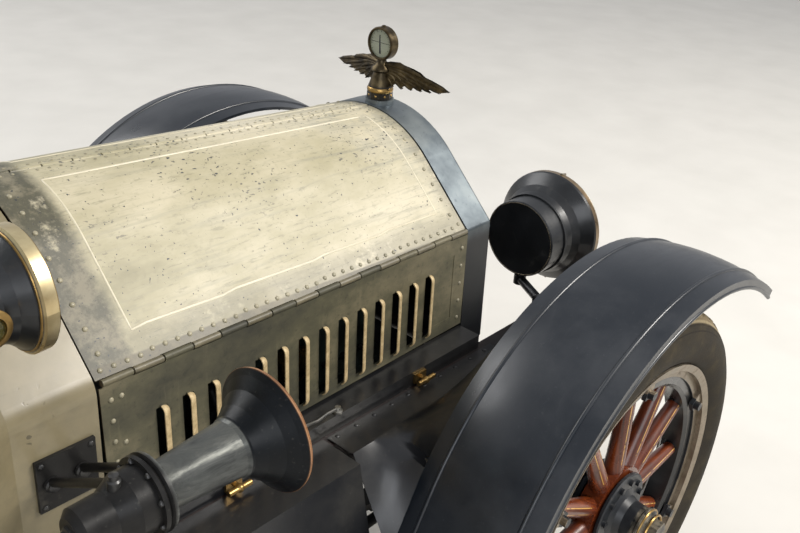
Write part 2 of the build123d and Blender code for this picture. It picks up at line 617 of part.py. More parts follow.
def arch(half, corner_z, crown_z, slope, corner_radius, inset=0.0):
    """Right and left halves of a bonnet or cowl section above its corners, as (y, z) points.

    Each half runs from the crown: a flat arc, a straight shoulder at the given slope, then
    the corner. Returns the arc's middle and end, the shoulder's end, the corner's middle and
    end, and the crown, all drawn in by inset.
    """
    a = radians(slope)
    radius = (half * tan(a) - (crown_z - corner_z)) / (sin(a) * tan(a) - (1 - cos(a)))
    centre = crown_z - radius
    crown = radius - inset
    mid = (crown * sin(a / 2), centre + crown * cos(a / 2))
    end = (crown * sin(a), centre + crown * cos(a))
    cut = corner_radius * tan((pi / 2 - a) / 2)
    corner_y, corner_centre_z = half - corner_radius, corner_z - cut
    bend = corner_radius - inset
    b = (a + pi / 2) / 2
    shoulder = (corner_y + bend * sin(a), corner_centre_z + bend * cos(a))
    corner_mid = (corner_y + bend * sin(b), corner_centre_z + bend * cos(b))
    corner_end = (corner_y + bend, corner_centre_z)
    return (0.0, centre + crown), mid, end, shoulder, corner_mid, corner_end


def hood_arch(section, inset=0.0):
    half, corner, crown = section
    return arch(half, corner, crown, SHOULDER, 12.0, inset)


def arch_face(points, foot, plane):
    """Closed face under an arch, down to foot = (y, z), on a plane at its own x."""
    crown, mid, end, shoulder, corner_mid, corner_end = points
    right = [(-y, z) for y, z in (mid, end, shoulder, corner_mid, corner_end)]
    face = make_face([
        Line((-foot[0], foot[1]), foot), Line(foot, corner_end), ThreePointArc(corner_end, corner_mid, shoulder),
        Line(shoulder, end), ThreePointArc(end, crown, right[1]), Line(right[1], right[2]),
        ThreePointArc(right[2], right[3], right[4]), Line(right[4], (-foot[0], foot[1])),
    ])
    return plane * face


def hood_point(x):
    """Half width, corner height and crown height of the bonnet at x."""
    t = (x - HOOD_FRONT_X) / (HOOD_REAR_X - HOOD_FRONT_X)
    return tuple(a + (b - a) * t for a, b in zip(HOOD_FRONT, HOOD_REAR))


SHELL_FRONT_X = HOOD_FRONT_X + SHELL_DEPTH
SHELL_FOOT_Y = HOOD_FRONT[0] + HOOD_LEAN + 5
SHELL_FOOT_Z = CROSS_Z + CROSS_RADIUS + SEAT


def radiator_shell():
    """Tank shell: flat front with a rounded edge, open window, hollow behind for the core."""
    outer = arch_face(hood_arch(HOOD_FRONT), (SHELL_FOOT_Y, SHELL_FOOT_Z), Plane.YZ.offset(HOOD_FRONT_X + 1))
    shell = extrude(outer, SHELL_DEPTH - 1)
    shell = fillet(shell.faces().sort_by(Axis.X)[-1].edges(), 7)
    half, corner, crown = HOOD_FRONT
    window = (half - TANK_SIDE, corner - 60, crown - TANK_TOP)
    opening = arch_face(hood_arch(window), (half - TANK_SIDE, SHELL_FOOT_Z + 40), Plane.YZ.offset(HOOD_FRONT_X - 5))
    shell -= extrude(opening, SHELL_DEPTH + 20)
    neck = rod((GAUGE_PLACE[0], 0, crown - 20), (GAUGE_PLACE[0], 0, crown + 10), 32)
    return shell + neck


def radiator_core():
    """Finned core that fills the shell's window."""
    half, corner, crown = HOOD_FRONT
    gap = SEAT
    window = (half - TANK_SIDE - gap, corner - 60 - gap, crown - TANK_TOP - gap)
    foot = (half - TANK_SIDE - gap, SHELL_FOOT_Z + 40 + gap)
    face = arch_face(hood_arch(window), foot, Plane.YZ.offset(HOOD_FRONT_X + 12))
    core = extrude(face, SHELL_DEPTH - 26)
    top, low = crown - TANK_TOP - 90, SHELL_FOOT_Z + 60
    pitch = (top - low) / CORE_FINS
    for k in range(CORE_FINS):
        z = low + (k + 0.5) * pitch
        core -= box(SHELL_FRONT_X - 22, SHELL_FRONT_X - 10, 40 - half, half - 40, z - 0.32 * pitch, z + 0.32 * pitch)
    return core


CAP_WING = (
    (-4, 2), (20, 14), (45, 18), (75, 8), (110, -8), (150, -16), (172, -19), (150, -25), (112, -22), (104, -28),
    (88, -24), (80, -31), (63, -26), (55, -33), (39, -27), (31, -33), (14, -25), (-4, -26),
)    # outwards from the root, and up


def radiator_cap():
    """Stepped eight-sided cap with a dial above it, held between two spread wings with feathered edges."""
    x, y, z = GAUGE_PLACE
    foot = HOOD_FRONT[2] + 10 + SEAT
    root = z - 56
    made = Pos(x, y, foot) * extrude(RegularPolygon(29, 8), 14)
    made += rod((x, y, foot + 13), (x, y, foot + 28), 27)
    made += Pos(x, y, foot + 27) * Cone(27, 12, root - foot - 27 + 6, align=(Align.CENTER, Align.CENTER, Align.MIN))
    made += rod((x, y, foot + 28), (x, y, z - GAUGE_RADIUS + 3), 8)
    made += rod((x - 9, y, z), (x + 9, y, z), GAUGE_RADIUS)
    for face_x in (x - 10, x + 6):
        made -= rod((face_x, y, z), (face_x + 4, y, z), GAUGE_RADIUS - 5)
    for s in (-1, 1):
        out = Vector(0.22, s, 0).normalized()
        across = out.cross(Vector(0, 0, 1))
        side = Plane(origin=Vector(x, y, root) - across * 3.5, x_dir=out, z_dir=across)
        made += extrude(side * outline(*CAP_WING), 7)
    return made


HOOD_KNUCKLE = HINGE_PIN + SEAT + HINGE_WALL


def hinge_places(line, odd):
    """Start and end of every second hinge place along a line."""
    start, end = Vector(*line[0]), Vector(*line[1])
    step = (end - start) / (2 * HINGE_KNUCKLES)
    return [(start + step * k, start + step * (k + 1)) for k in range(odd, 2 * HINGE_KNUCKLES, 2)]


def hinged(panel, line, odd):
    """Adds a panel's own knuckles along a hinge line and clears it round its partner's."""
    for a, b in hinge_places(line, 1 - odd):
        spare = (b - a).normalized() * 1.5
        panel -= rod(tuple(a - spare), tuple(b + spare), HOOD_KNUCKLE + 1.2)
    front, rear = Vector(*line[0]), Vector(*line[1])
    past = (rear - front).normalized()
    for a, b in ((front - past * 12, front + past * 1.4), (rear - past * 1.4, rear + past * 12)):
        panel -= rod(tuple(a), tuple(b), HOOD_KNUCKLE + 1.2)
    for a, b in hinge_places(line, odd):
        short = (b - a).normalized() * 1.5
        panel += rod(tuple(a + short), tuple(b - short), HOOD_KNUCKLE)
    return panel


def bored(panel, line):
    a, b = Vector(*line[0]), Vector(*line[1])
    run = (b - a).normalized() * 20
    return panel - rod(tuple(a - run), tuple(b + run), HINGE_PIN + SEAT)


def crown_line():
    """Centre hinge of the bonnet, set so that the sheet's edge meets its knuckles."""
    drop = HOOD_KNUCKLE - 2
    return (HOOD_FRONT_X - 6, 0, HOOD_FRONT[2] - drop), (HOOD_REAR_X + 6, 0, HOOD_REAR[2] - drop)


def corner_line():
    """Left corner hinge, just outside the sheet's corner."""
    return (
        (HOOD_FRONT_X - 6, HOOD_FRONT[0] + 0.5, HOOD_FRONT[1] + 0.5),
        (HOOD_REAR_X + 6, HOOD_REAR[0] + 0.5, HOOD_REAR[1] + 0.5),
    )


def hood_top(odd):
    """Left top panel: sheet lofted between its two end sections, with knuckles on both hinges."""
    faces = []
    a = radians(SHOULDER)
    run_on = (3 * cos(a), -3 * sin(a))
    for x, section in ((HOOD_FRONT_X + 1 - SHUT_LINE, HOOD_FRONT), (HOOD_REAR_X + 1, HOOD_REAR)):
        _, mid, end, shoulder, _, _ = hood_arch(section)
        _, mid_in, end_in, shoulder_in, _, _ = hood_arch(section, HOOD_SHEET)
        corner = (shoulder[0] + run_on[0], shoulder[1] + run_on[1])
        corner_in = (shoulder_in[0] + run_on[0], shoulder_in[1] + run_on[1])
        edge, edge_in = (4, section[2] - 0.1), (4, section[2] - HOOD_SHEET - 0.1)
        sheet = make_face([
            ThreePointArc(edge, mid, end), Line(end, corner), Line(corner, corner_in),
            Line(corner_in, end_in), ThreePointArc(end_in, mid_in, edge_in), Line(edge_in, edge),
        ])
        faces.append(Plane.YZ.offset(x) * sheet)
    panel = loft(faces, ruled=True)
    panel = hinged(hinged(panel, crown_line(), odd), corner_line(), 0)
    return bored(bored(panel, crown_line()), corner_line())


def side_plane():
    """Left side panel's own plane: x runs rearwards, y up, z outwards, origin at its front corner."""
    along = Vector(HOOD_REAR_X - HOOD_FRONT_X, HOOD_REAR[0] - HOOD_FRONT[0], 0).normalized()
    down = Vector(0, HOOD_LEAN, HOOD_FOOT_Z - HOOD_FRONT[1]).normalized()
    return Plane(origin=(HOOD_FRONT_X, HOOD_FRONT[0] + 1.5, HOOD_FRONT[1]), x_dir=along, z_dir=down.cross(along))


def louvre():
    """One round-ended blister on z = 0, standing along Y and open to the rear (+X)."""
    half = LOUVRE_LENGTH / 2 - LOUVRE_RADIUS
    outer, inner = [
        fused(rod((0, -half, 0), (0, half, 0), radius), *[Pos(0, s * half, 0) * Sphere(radius) for s in (-1, 1)])
        for radius in (LOUVRE_RADIUS, LOUVRE_RADIUS - LOUVRE_SHEET)
    ]
    front = box(-LOUVRE_RADIUS, 2, -LOUVRE_LENGTH, LOUVRE_LENGTH, 0, LOUVRE_RADIUS)
    return (outer - inner) & front


def hood_side():
    """Left side panel with its raised border, louvres, handle and half of the corner hinge."""
    length = hypot(HOOD_REAR_X - HOOD_FRONT_X, HOOD_REAR[0] - HOOD_FRONT[0])
    front, rear = HOOD_FRONT[1] - HOOD_FOOT_Z, HOOD_REAR[1] - HOOD_FOOT_Z
    rise = HOOD_REAR[1] - HOOD_FRONT[1]
    sheet = outline((4, -4), (length - 1, rise - 4), (length - 1, rise - rear), (4, -front))
    panel = extrude(sheet, HOOD_SHEET)
    field = outline((46, -42), (length - 52, rise - 44), (length - 52, 30 - front), (46, 30 - front))
    panel -= Pos(0, 0, 1.5) * extrude(field, 2)
    blister = louvre()
    slot = box(2 - LOUVRE_RADIUS, LOUVRE_RADIUS - 4, -LOUVRE_LENGTH / 2 + 4, LOUVRE_LENGTH / 2 - 4, -1, HOOD_SHEET + 1)
    for k in range(LOUVRES):
        x = length - LOUVRE_FIRST - k * LOUVRE_PITCH
        y = -LOUVRE_TOP - LOUVRE_LENGTH / 2
        panel -= Pos(x, y, 0) * slot
        panel += Pos(x, y, 0) * blister
    panel = side_plane().location * panel
    panel = hinged(panel, corner_line(), 1)
    start, end = Vector(*corner_line()[0]), Vector(*corner_line()[1])
    short = (end - start).normalized() * 2
    return panel + rod(tuple(start + short), tuple(end - short), HINGE_PIN)


def hood_hinge_rod():
    """Pin of the centre hinge, from the radiator shell to the firewall."""
    a, b = Vector(*crown_line()[0]), Vector(*crown_line()[1])
    slope = (b - a) / (b.X - a.X)
    start = a + slope * (HOOD_FRONT_X + 1 - SEAT - a.X)
    end = b + slope * (FIREWALL_X + SEAT - b.X)
    return rod(tuple(start), tuple(end), HINGE_PIN)


def hood_sills():
    """Wooden ledge strips on the rails, under the feet of the bonnet's side panels."""
    x0, x1 = HOOD_FRONT_X - 4, COWL_SECTIONS[0][0] + 4
    strip = box(x1, x0, HOOD_FRONT[0] + 9, RAIL_OUTER_Y - 30, RAIL_TOP_Z + SEAT, HOOD_FOOT_Z - 6)
    return both_sides(strip)


def hood_catches():
    """Turn catches on the ledge strips' outer faces, let go under the panels: plate, post and T handle."""
    y, z = RAIL_OUTER_Y - 30 + SEAT, HOOD_FOOT_Z - 22
    catches = []
    for x in CATCH_XS:
        catch = box(x - 17, x + 17, y, y + 5, z - 12, z + 10)
        catch += rod((x, y + 4, z), (x, y + 20, z), 5)
        catch += rod((x - 24, y + 20, z), (x + 24, y + 20, z), 5.5)
        catch += Pos(x, y + 20, z) * Sphere(8)
        catches.append(catch)
    return both_sides(group(*catches))


# Cowl, body and doors

def cowl_face(section, inset, foot_z):
    x, half, corner, crown, slope, corner_radius = section
    points = arch(half, corner, crown, slope, corner_radius, inset)
    return arch_face(points, (half - inset, foot_z), Plane.YZ.offset(x))


def cowl_space(inset, foot_z):
    """Solid cowl drawn in by inset, run on past both ends when it is drawn in."""
    faces = [cowl_face(section, inset, foot_z) for section in COWL_SECTIONS]
    space = loft(faces[:2], ruled=True) + loft(faces[1:], ruled=True)
    if inset > 0:
        space += extrude(cowl_face(COWL_SECTIONS[0], inset, foot_z), 5)
        space += extrude(cowl_face(COWL_SECTIONS[-1], inset, foot_z), -5)
    return space


def cowl():
    """Hollow scuttle from the bonnet back to the doors, with a rolled bead at its front edge."""
    return cowl_space(0, SILL_Z) - cowl_space(COWL_WALL, SILL_Z - 20)


def firewall():
    """Board that closes the cowl's front, with the steering column's hole."""
    face = cowl_face(COWL_SECTIONS[0], COWL_WALL + SEAT, FLOOR_Z + FLOOR_SHEET + SEAT)
    board = Pos(FIREWALL_X - COWL_SECTIONS[0][0], 0, 0) * extrude(face, -FIREWALL_SHEET)
    return board - rod(COLUMN_FOOT, COLUMN_TOP, COLUMN_RADIUS + 9)


def body_plan(inset, z):
    """Body seen from above at height z, from the cowl to the rounded tail, drawn in by inset."""
    x0, y0 = BODY_FRONT[0], BODY_FRONT[1] - inset
    x1, y1 = BODY_WAIST[0], BODY_WAIST[1] - inset
    x2, r = BODY_REAR_X + inset, BODY_CORNER - inset
    bend = r * (1 - sqrt(0.5))
    return Pos(0, 0, z) * make_face([
        Line((x0, -y0), (x0, y0)), Line((x0, y0), (x1, y1)), Line((x1, y1), (x2 + r, y1)),
        ThreePointArc((x2 + r, y1), (x2 + bend, y1 - bend), (x2, y1 - r)), Line((x2, y1 - r), (x2, r - y1)),
        ThreePointArc((x2, r - y1), (x2 + bend, bend - y1), (x2 + r, -y1)), Line((x2 + r, -y1), (x1, -y1)),
        Line((x1, -y1), (x0, -y0)),
    ])


def body_top_line():
    """Everything above the body's upper edge, as a side profile: low at the doors, high at the tail."""
    rise0, rise1 = DOORS["rear"][1] - 60, DOORS["rear"][1] - 330
    mid = (rise0 + rise1) / 2
    middle_z = (BELT_Z + TONNEAU_Z) / 2
    return make_face([
        Line((200, BELT_Z), (rise0, BELT_Z)), ThreePointArc((rise0, BELT_Z), (rise0 - 70, BELT_Z + 15), (mid, middle_z)),
        ThreePointArc((mid, middle_z), (rise1 + 70, TONNEAU_Z - 15), (rise1, TONNEAU_Z)),
        Line((rise1, TONNEAU_Z), (BODY_REAR_X - 200, TONNEAU_Z)),
        Line((BODY_REAR_X - 200, TONNEAU_Z), (BODY_REAR_X - 200, TONNEAU_Z + 300)),
        Line((BODY_REAR_X - 200, TONNEAU_Z + 300), (200, TONNEAU_Z + 300)), Line((200, TONNEAU_Z + 300), (200, BELT_Z)),
    ])


def body_wall():
    """Whole body side and tail as one shell, before the doors are cut."""
    tall = TONNEAU_Z + 10 - SILL_Z
    shell = extrude(body_plan(0, SILL_Z), tall) - extrude(body_plan(BODY_WALL, SILL_Z - 5), tall + 20)
    shell -= box(BODY_FRONT[0] - 8, 100, BODY_WALL - BODY_FRONT[1], BODY_FRONT[1] - BODY_WALL, 0, 2000)
    shell -= prism_y(body_top_line(), -700, 700)
    bead = extrude(body_plan(-7, BELT_Z - 46), 14) - extrude(body_plan(4, BELT_Z - 50), 30)
    bead -= box(BODY_FRONT[0] - 0.5, 100, -700, 700, 0, 2000)
    return shell + bead


def door_box(name, gap, y0=300.0):
    front, rear = DOORS[name]
    return box(rear + gap, front - gap, y0, 700, DOOR_FOOT_Z + gap, TONNEAU_Z + 100)


def wall_y(x):
    """Outer face of the body's side at x."""
    t = min(1.0, max(0.0, (x - BODY_FRONT[0]) / (BODY_WAIST[0] - BODY_FRONT[0])))
    return BODY_FRONT[1] + t * (BODY_WAIST[1] - BODY_FRONT[1])


def door_axis(name):
    """Left door's hinge line, at its front edge and clear of the outer face."""
    x = DOORS[name][0]
    return x, wall_y(x) + DOOR_KNUCKLE + 8


def door_hinge(name, on_door):
    """Half of each strap hinge: the body's part carries the pin, the door's part turns on it."""
    x, y = door_axis(name)
    made = None
    for z in DOOR_HINGE_ZS:
        if on_door:
            piece = rod((x, y, z - 16), (x, y, z + 16), DOOR_KNUCKLE)
            strap = box(x - 70, x, wall_y(x - 70) - 4, y + 3, z - 14, z + 14)
            strap -= box(x - 300, x - 9, wall_y(x) + 12, y + 60, z - 40, z + 40)
            piece = piece + strap
            piece -= rod((x, y, z - 30), (x, y, z + 30), DOOR_PIN + SEAT)
        else:
            piece = rod((x, y, z - 34), (x, y, z + 34), DOOR_PIN)
            for s in (-1, 1):
                low, high = sorted((z + s * 18, z + s * 34))
                piece += rod((x, y, low), (x, y, high), DOOR_KNUCKLE)
                piece += box(x, x + 44, wall_y(x + 44) - 4, y - 2, low, high)
        made = piece if made is None else made + piece
    return made


def door(name):
    """Left door, cut from the body's own shell, with its hinge halves and an inside latch bar."""
    front, rear = DOORS[name]
    panel = body_wall() & door_box(name, SHUT_LINE / 2)
    x, y = door_axis(name)
    swing = rod((x, y, DOOR_FOOT_Z), (x, y, TONNEAU_Z), DOOR_KNUCKLE + 5)
    panel = panel - swing
    panel += door_hinge(name, True)
    handle_x, handle_z = rear + 60, BELT_Z - 90
    y = wall_y(handle_x)
    panel += rod((handle_x, y - 4, handle_z), (handle_x, y + 26, handle_z), 8)
    panel += rod((handle_x - 12, y + 24, handle_z), (handle_x + 70, y + 24, handle_z), 7)
    return panel


FRONT_SEAT = (-1880.0, -2385.0, 1010.0)     # front edge, back of the squab, top of the riser
REAR_SEAT = (-3120.0, -3860.0, 1000.0)


def body_space(inset, z0, z1):
    return extrude(body_plan(inset, z0), z1 - z0)


def body_tub():
    """Body shell less its doors, with seat risers and the front seat's back panel."""
    floor_top = FLOOR_Z + FLOOR_SHEET + SEAT
    inner = body_space(BODY_WALL - 2, floor_top, TONNEAU_Z + 40)
    tub = body_wall()
    for front, back, top in (FRONT_SEAT, REAR_SEAT):
        riser = box(front - 18, front, -600, 600, 0, top) + box(back, front, -600, 600, top - 18, top)
        riser = riser + box(back, back + 18, -600, 600, 0, top)
        tub += riser & inner
    seat_back = box(FRONT_SEAT[1] - 24, FRONT_SEAT[1] + 1, -600, 600, 0, TONNEAU_Z + 20) & inner
    for s in (-1, 1):
        corner = box(FRONT_SEAT[1] - 40, FRONT_SEAT[1] + 40, s * 450, s * 700, TONNEAU_Z - 90, TONNEAU_Z + 60)
        seat_back -= corner - rod(
            (FRONT_SEAT[1] - 50, s * 450, TONNEAU_Z - 90), (FRONT_SEAT[1] + 50, s * 450, TONNEAU_Z - 90), 110
        )
    tub += seat_back
    for name in DOORS:
        opening = door_box(name, -SHUT_LINE / 2, wall_y(DOORS[name][0]) - BODY_WALL - 6)
        tub = tub - opening - other_side(opening)
        hinge = door_hinge(name, False)
        tub = tub + hinge + other_side(hinge)
    return tub


def floorboards():
    """Floor on bearers along the rails, from the firewall to the tail."""
    z1 = FLOOR_Z + FLOOR_SHEET
    x, y = BODY_FRONT[0], BODY_FRONT[1] - BODY_WALL - SEAT
    front = cowl_space(COWL_WALL + SEAT, SILL_Z - 20) & box(x + 0.5, FIREWALL_X, -600, 600, FLOOR_Z, z1)
    front += box(x - 10, x + 10, -y, y, FLOOR_Z, z1)
    main = body_space(BODY_WALL + SEAT, FLOOR_Z, z1) & box(-4200, -1450, -700, 700, 0, 2000)
    floor = front + main
    for s in (-1, 1):
        y0, y1 = sorted((s * (RAIL_INNER_Y + 4), s * (RAIL_OUTER_Y - 4)))
        floor += box(BODY_REAR_X + 100, -1500, y0, y1, RAIL_TOP_Z + SEAT, FLOOR_Z + 1)
    return floor - rod(COLUMN_FOOT, COLUMN_TOP, COLUMN_RADIUS + 9)


def bench(seat, depth, squab_top):
    """Plain closed cushion and squab, as wide as the body lets them be."""
    front, back, top = seat
    cushion = box(back + depth + 6, front - 4, -600, 600, top + SEAT, top + 150)
    cushion = fillet(cushion.edges().filter_by(Axis.Y).group_by(Axis.Z)[-1], 40)
    squab = prism_y(outline(
        (back + 26, top + SEAT), (back + depth, top + SEAT), (back + depth - 34, squab_top - 50),
        (back + depth - 70, squab_top), (back + 26, squab_top),
    ), -600, 600)
    room = body_space(BODY_WALL + 10, top, squab_top + 10)
    return group(cushion & room, squab & room)


# Windscreen, wings, boards, lamps and horn

SCREEN_X = -1400.0
SCREEN_HALF = 470.0


SCREEN_TUBE = 9.0
SCREEN_RAIL_ZS = (1306.0, 1494.0, 1680.0)
SCREEN_GLASS = 5.0


def on_cowl(piece):
    """Trims a piece's foot to lie on the cowl."""
    return piece - cowl_space(-SEAT, SILL_Z - 20)


def windshield():
    """Upright brass tube frame over the cowl: two posts, three rails and two stays."""
    x, half = SCREEN_X, SCREEN_HALF
    frame = rod((x, -half, SCREEN_RAIL_ZS[0]), (x, half, SCREEN_RAIL_ZS[0]), SCREEN_TUBE)
    for z in SCREEN_RAIL_ZS[1:]:
        frame += rod((x, -half, z), (x, half, z), SCREEN_TUBE)
    for s in (-1, 1):
        frame += rod((x, s * half, 1150), (x, s * half, SCREEN_RAIL_ZS[2] + SCREEN_TUBE), SCREEN_TUBE + 2)
        frame += rod((x, s * half, SCREEN_RAIL_ZS[1]), (x + 235, s * 330, 1150), 7)
    frame = on_cowl(frame)
    return Compound([max(frame.solids(), key=lambda piece: piece.volume)])


def windshield_glass():
    """Lower and upper pane, between the frame's tubes."""
    panes = []
    inside = SCREEN_TUBE + SEAT
    for low, high in zip(SCREEN_RAIL_ZS, SCREEN_RAIL_ZS[1:]):
        y = SCREEN_HALF - SCREEN_TUBE - 2 - SEAT
        panes.append(box(SCREEN_X - SCREEN_GLASS / 2, SCREEN_X + SCREEN_GLASS / 2, -y, y, low + inside, high - inside))
    return group(*panes)


WING_REAR_ANGLE = 152.0
WING_SWEEP = 260.0          # radius of the turn onto the running board
WING_DOME = 14.0
APRON_SPLIT_X = -1100.0     # where the front aprons start
APRON_BULGE_X = -985.0      # and where they reach their full width
APRON_FRONT_X = -540.0
APRON_KNEE_Y = 478.0


def wing_station(x, z, angle, end):
    """Wing section across the car: domed sheet with two beads, its edges turned down and wired."""
    a = radians(angle)
    plane = Plane(origin=(x, 0, z), x_dir=(0, 1, 0), z_dir=(sin(a), 0, -cos(a)))
    (y0, y1), t, d = WING_YS[end], WING_SHEET, WING_DOME
    mid, half = (y0 + y1) / 2, (y1 - y0) / 2
    section = make_face([
        Line((y0, -d - 8), (y0, -d)), ThreePointArc((y0, -d), (mid, t), (y1, -d)), Line((y1, -d), (y1, -d - WING_LIP)),
        Line((y1, -d - WING_LIP), (y1 - t, -d - WING_LIP)), Line((y1 - t, -d - WING_LIP), (y1 - t, -d - t)),
        ThreePointArc((y1 - t, -d - t), (mid, 0), (y0 + t, -d - t)), Line((y0 + t, -d - t), (y0 + t, -d - 8)),
        Line((y0 + t, -d - 8), (y0, -d - 8)),
    ])
    reach = half - WING_BEAD_INSET
    height = t - (t + d) * (reach / half) ** 2 - 1
    for s in (-1, 1):
        section += Pos(mid + s * reach, height) * Circle(WING_BEAD)
    section += Pos(y1 - 2, -d - WING_LIP) * Circle(WING_BEAD)
    return plane * section


def wing_run():
    """Where the wing leaves its arc, how far it runs straight, and where it meets the board."""
    a = radians(WING_REAR_ANGLE)
    x, z = WING_AHEAD + WING_RADIUS * cos(a), WING_CENTRE_Z + WING_RADIUS * sin(a)
    end_z = BOARD_TOP_Z - WING_SHEET
    straight = (z - end_z - WING_SWEEP * (1 - sin(a))) / -cos(a)
    return x, z, straight, x - straight * sin(a) + WING_SWEEP * cos(a), end_z


def wing_place(angle, height):
    """Place on the wing's arc, height above its sheet, as x and z."""
    a = radians(angle)
    return WING_AHEAD + (WING_RADIUS + height) * cos(a), WING_CENTRE_Z + (WING_RADIUS + height) * sin(a)


def wing(end):
    """Left wing of one end about its own axle at x = 0, facing forward, with its two stays to the rail."""
    a = radians(WING_REAR_ANGLE)
    x, z, straight, end_x, end_z = wing_run()
    tip_angle = WING_ENDS[end]
    tip_x, tip_z = wing_place(tip_angle, 0)
    front = wing_station(tip_x, tip_z, tip_angle, end)
    sheet = revolve(front, Axis((WING_AHEAD, 0, WING_CENTRE_Z), (0, -1, 0)), WING_REAR_ANGLE - tip_angle)
    middle = wing_station(x, z, WING_REAR_ANGLE, end)
    sheet += extrude(middle, straight, dir=(-sin(a), 0, cos(a)))
    low_x, low_z = x - straight * sin(a), z + straight * cos(a)
    turn = Axis((low_x + WING_SWEEP * cos(a), 0, low_z + WING_SWEEP * sin(a)), (0, 1, 0))
    sheet += revolve(wing_station(low_x, low_z, WING_REAR_ANGLE, end), turn, WING_REAR_ANGLE - 90)
    y, mid_y = RAIL_OUTER_Y + SEAT, sum(WING_YS[end]) / 2
    for angle, rail_x, rail_z in ((tip_angle + 8, 430, 633), (146, -500, 655)):
        top_x, top_z = wing_place(angle, -9)
        elbow = (wing_place(angle, -45)[0], y + 52, top_z - 60)
        for start, stop in (((rail_x, y + 15, rail_z), elbow), (elbow, (top_x, mid_y, top_z))):
            sheet += rod(start, stop, 10)
        sheet += Pos(*elbow) * Sphere(10)
        sheet += rod((rail_x, y, rail_z), (rail_x, y + 16, rail_z), 20)
    return sheet


def front_fenders():
    return both_sides(wing("front"))


def rear_fenders():
    """The same wing turned about, on stays of its own, and run lower at the tail."""
    return both_sides(Pos(-WHEELBASE, 0, 0) * wing("rear").mirror(Plane.YZ))


def running_boards():
    """Two boards, each on three arms from the rail."""
    end_x = wing_run()[3]
    front, rear = end_x - SEAT, -WHEELBASE - end_x + SEAT
    low = BOARD_TOP_Z - BOARD_THICK
    (front_in, front_out), (rear_in, rear_out) = WING_YS["front"], WING_YS["rear"]
    plan = outline((rear, rear_in), (front, front_in), (front, front_out), (rear, rear_out))
    board = Pos(0, 0, low) * extrude(plan, BOARD_THICK)
    rail = RAIL_OUTER_Y + SEAT
    arm = outline(
        (rail, 668), (rail, 632), (430, low - 22), (front_out - 40, low - 10),
        (front_out - 40, low + 1), (456, low + 1),
    )
    for k in range(3):
        x = front + (rear - front) * (2 * k + 1) / 6
        board += prism_x(arm, x - 14, x + 14)
    return both_sides(board)


def board_edge(x):
    """How far out the inner edge of the board, or of the wing ahead of it, lies at x."""
    front, rear = wing_run()[3], -WHEELBASE - wing_run()[3]
    run = min(1.0, max(0.0, (front - x) / (front - rear)))
    return WING_YS["front"][0] + (WING_YS["rear"][0] - WING_YS["front"][0]) * run - SEAT


def below_wing(drop):
    """Side view of the space under the front wing's sheet, lowered by drop."""
    x, z, straight, end_x, end_z = wing_run()
    a = radians(WING_REAR_ANGLE)
    low_x, low_z = x - straight * sin(a), z + straight * cos(a)
    centre_x, centre_z = low_x + WING_SWEEP * cos(a), low_z + WING_SWEEP * sin(a)
    points = [(x, z), (low_x, low_z)]
    for turn in (-45, -60, -75):
        t = radians(turn)
        points.append((centre_x + WING_SWEEP * cos(t), centre_z + WING_SWEEP * sin(t)))
    points = [(px, pz - drop) for px, pz in points]
    return outline(*points, (end_x, end_z - drop), (end_x, end_z - 90), (0, end_z - 90), (0, z - drop))


def splash_aprons():
    """Sheets between rails and running boards; the front ones stand out over the steering gear to the wings."""
    rail, top, foot = RAIL_OUTER_Y + SEAT, RAIL_TOP_Z - 12, BOARD_TOP_Z
    low = foot - BOARD_THICK + 4
    faces = []
    for x in (-WHEELBASE - wing_run()[3] + 30, APRON_SPLIT_X - SEAT):
        edge = board_edge(x)
        faces.append(Plane.YZ.offset(x) * outline(
            (rail, top), (rail + 2.5, top), (rail + 2.5, top - 26), (edge, foot + 4), (edge, low),
            (edge - 2.5, low), (edge - 2.5, foot + 3), (rail, top - 27),
        ))
    rear = loft(faces, ruled=True)
    z = RAIL_TOP_Z + SEAT
    faces = []
    for x, knee in ((APRON_SPLIT_X, rail + 4), (APRON_BULGE_X, APRON_KNEE_Y), (wing_run()[3], APRON_KNEE_Y)):
        edge = board_edge(x)
        faces.append(Plane.YZ.offset(x) * outline(
            (rail - 24, z), (rail - 24, z + 2.5), (knee, z + 2.5), (edge, foot + 4), (edge, low),
            (edge - 2.5, low), (edge - 2.5, foot + 3), (knee - 2.5, z),
        ))
    front = loft(faces, ruled=True) + extrude(faces[-1], APRON_FRONT_X - wing_run()[3], dir=(1, 0, 0))
    front -= prism_y(below_wing(WING_DOME + 14), 0, 2 * RAIL_OUTER_Y)
    return both_sides(group(rear, max(front.solids(), key=lambda piece: piece.volume)))


LAMP_POST_X = 150.0


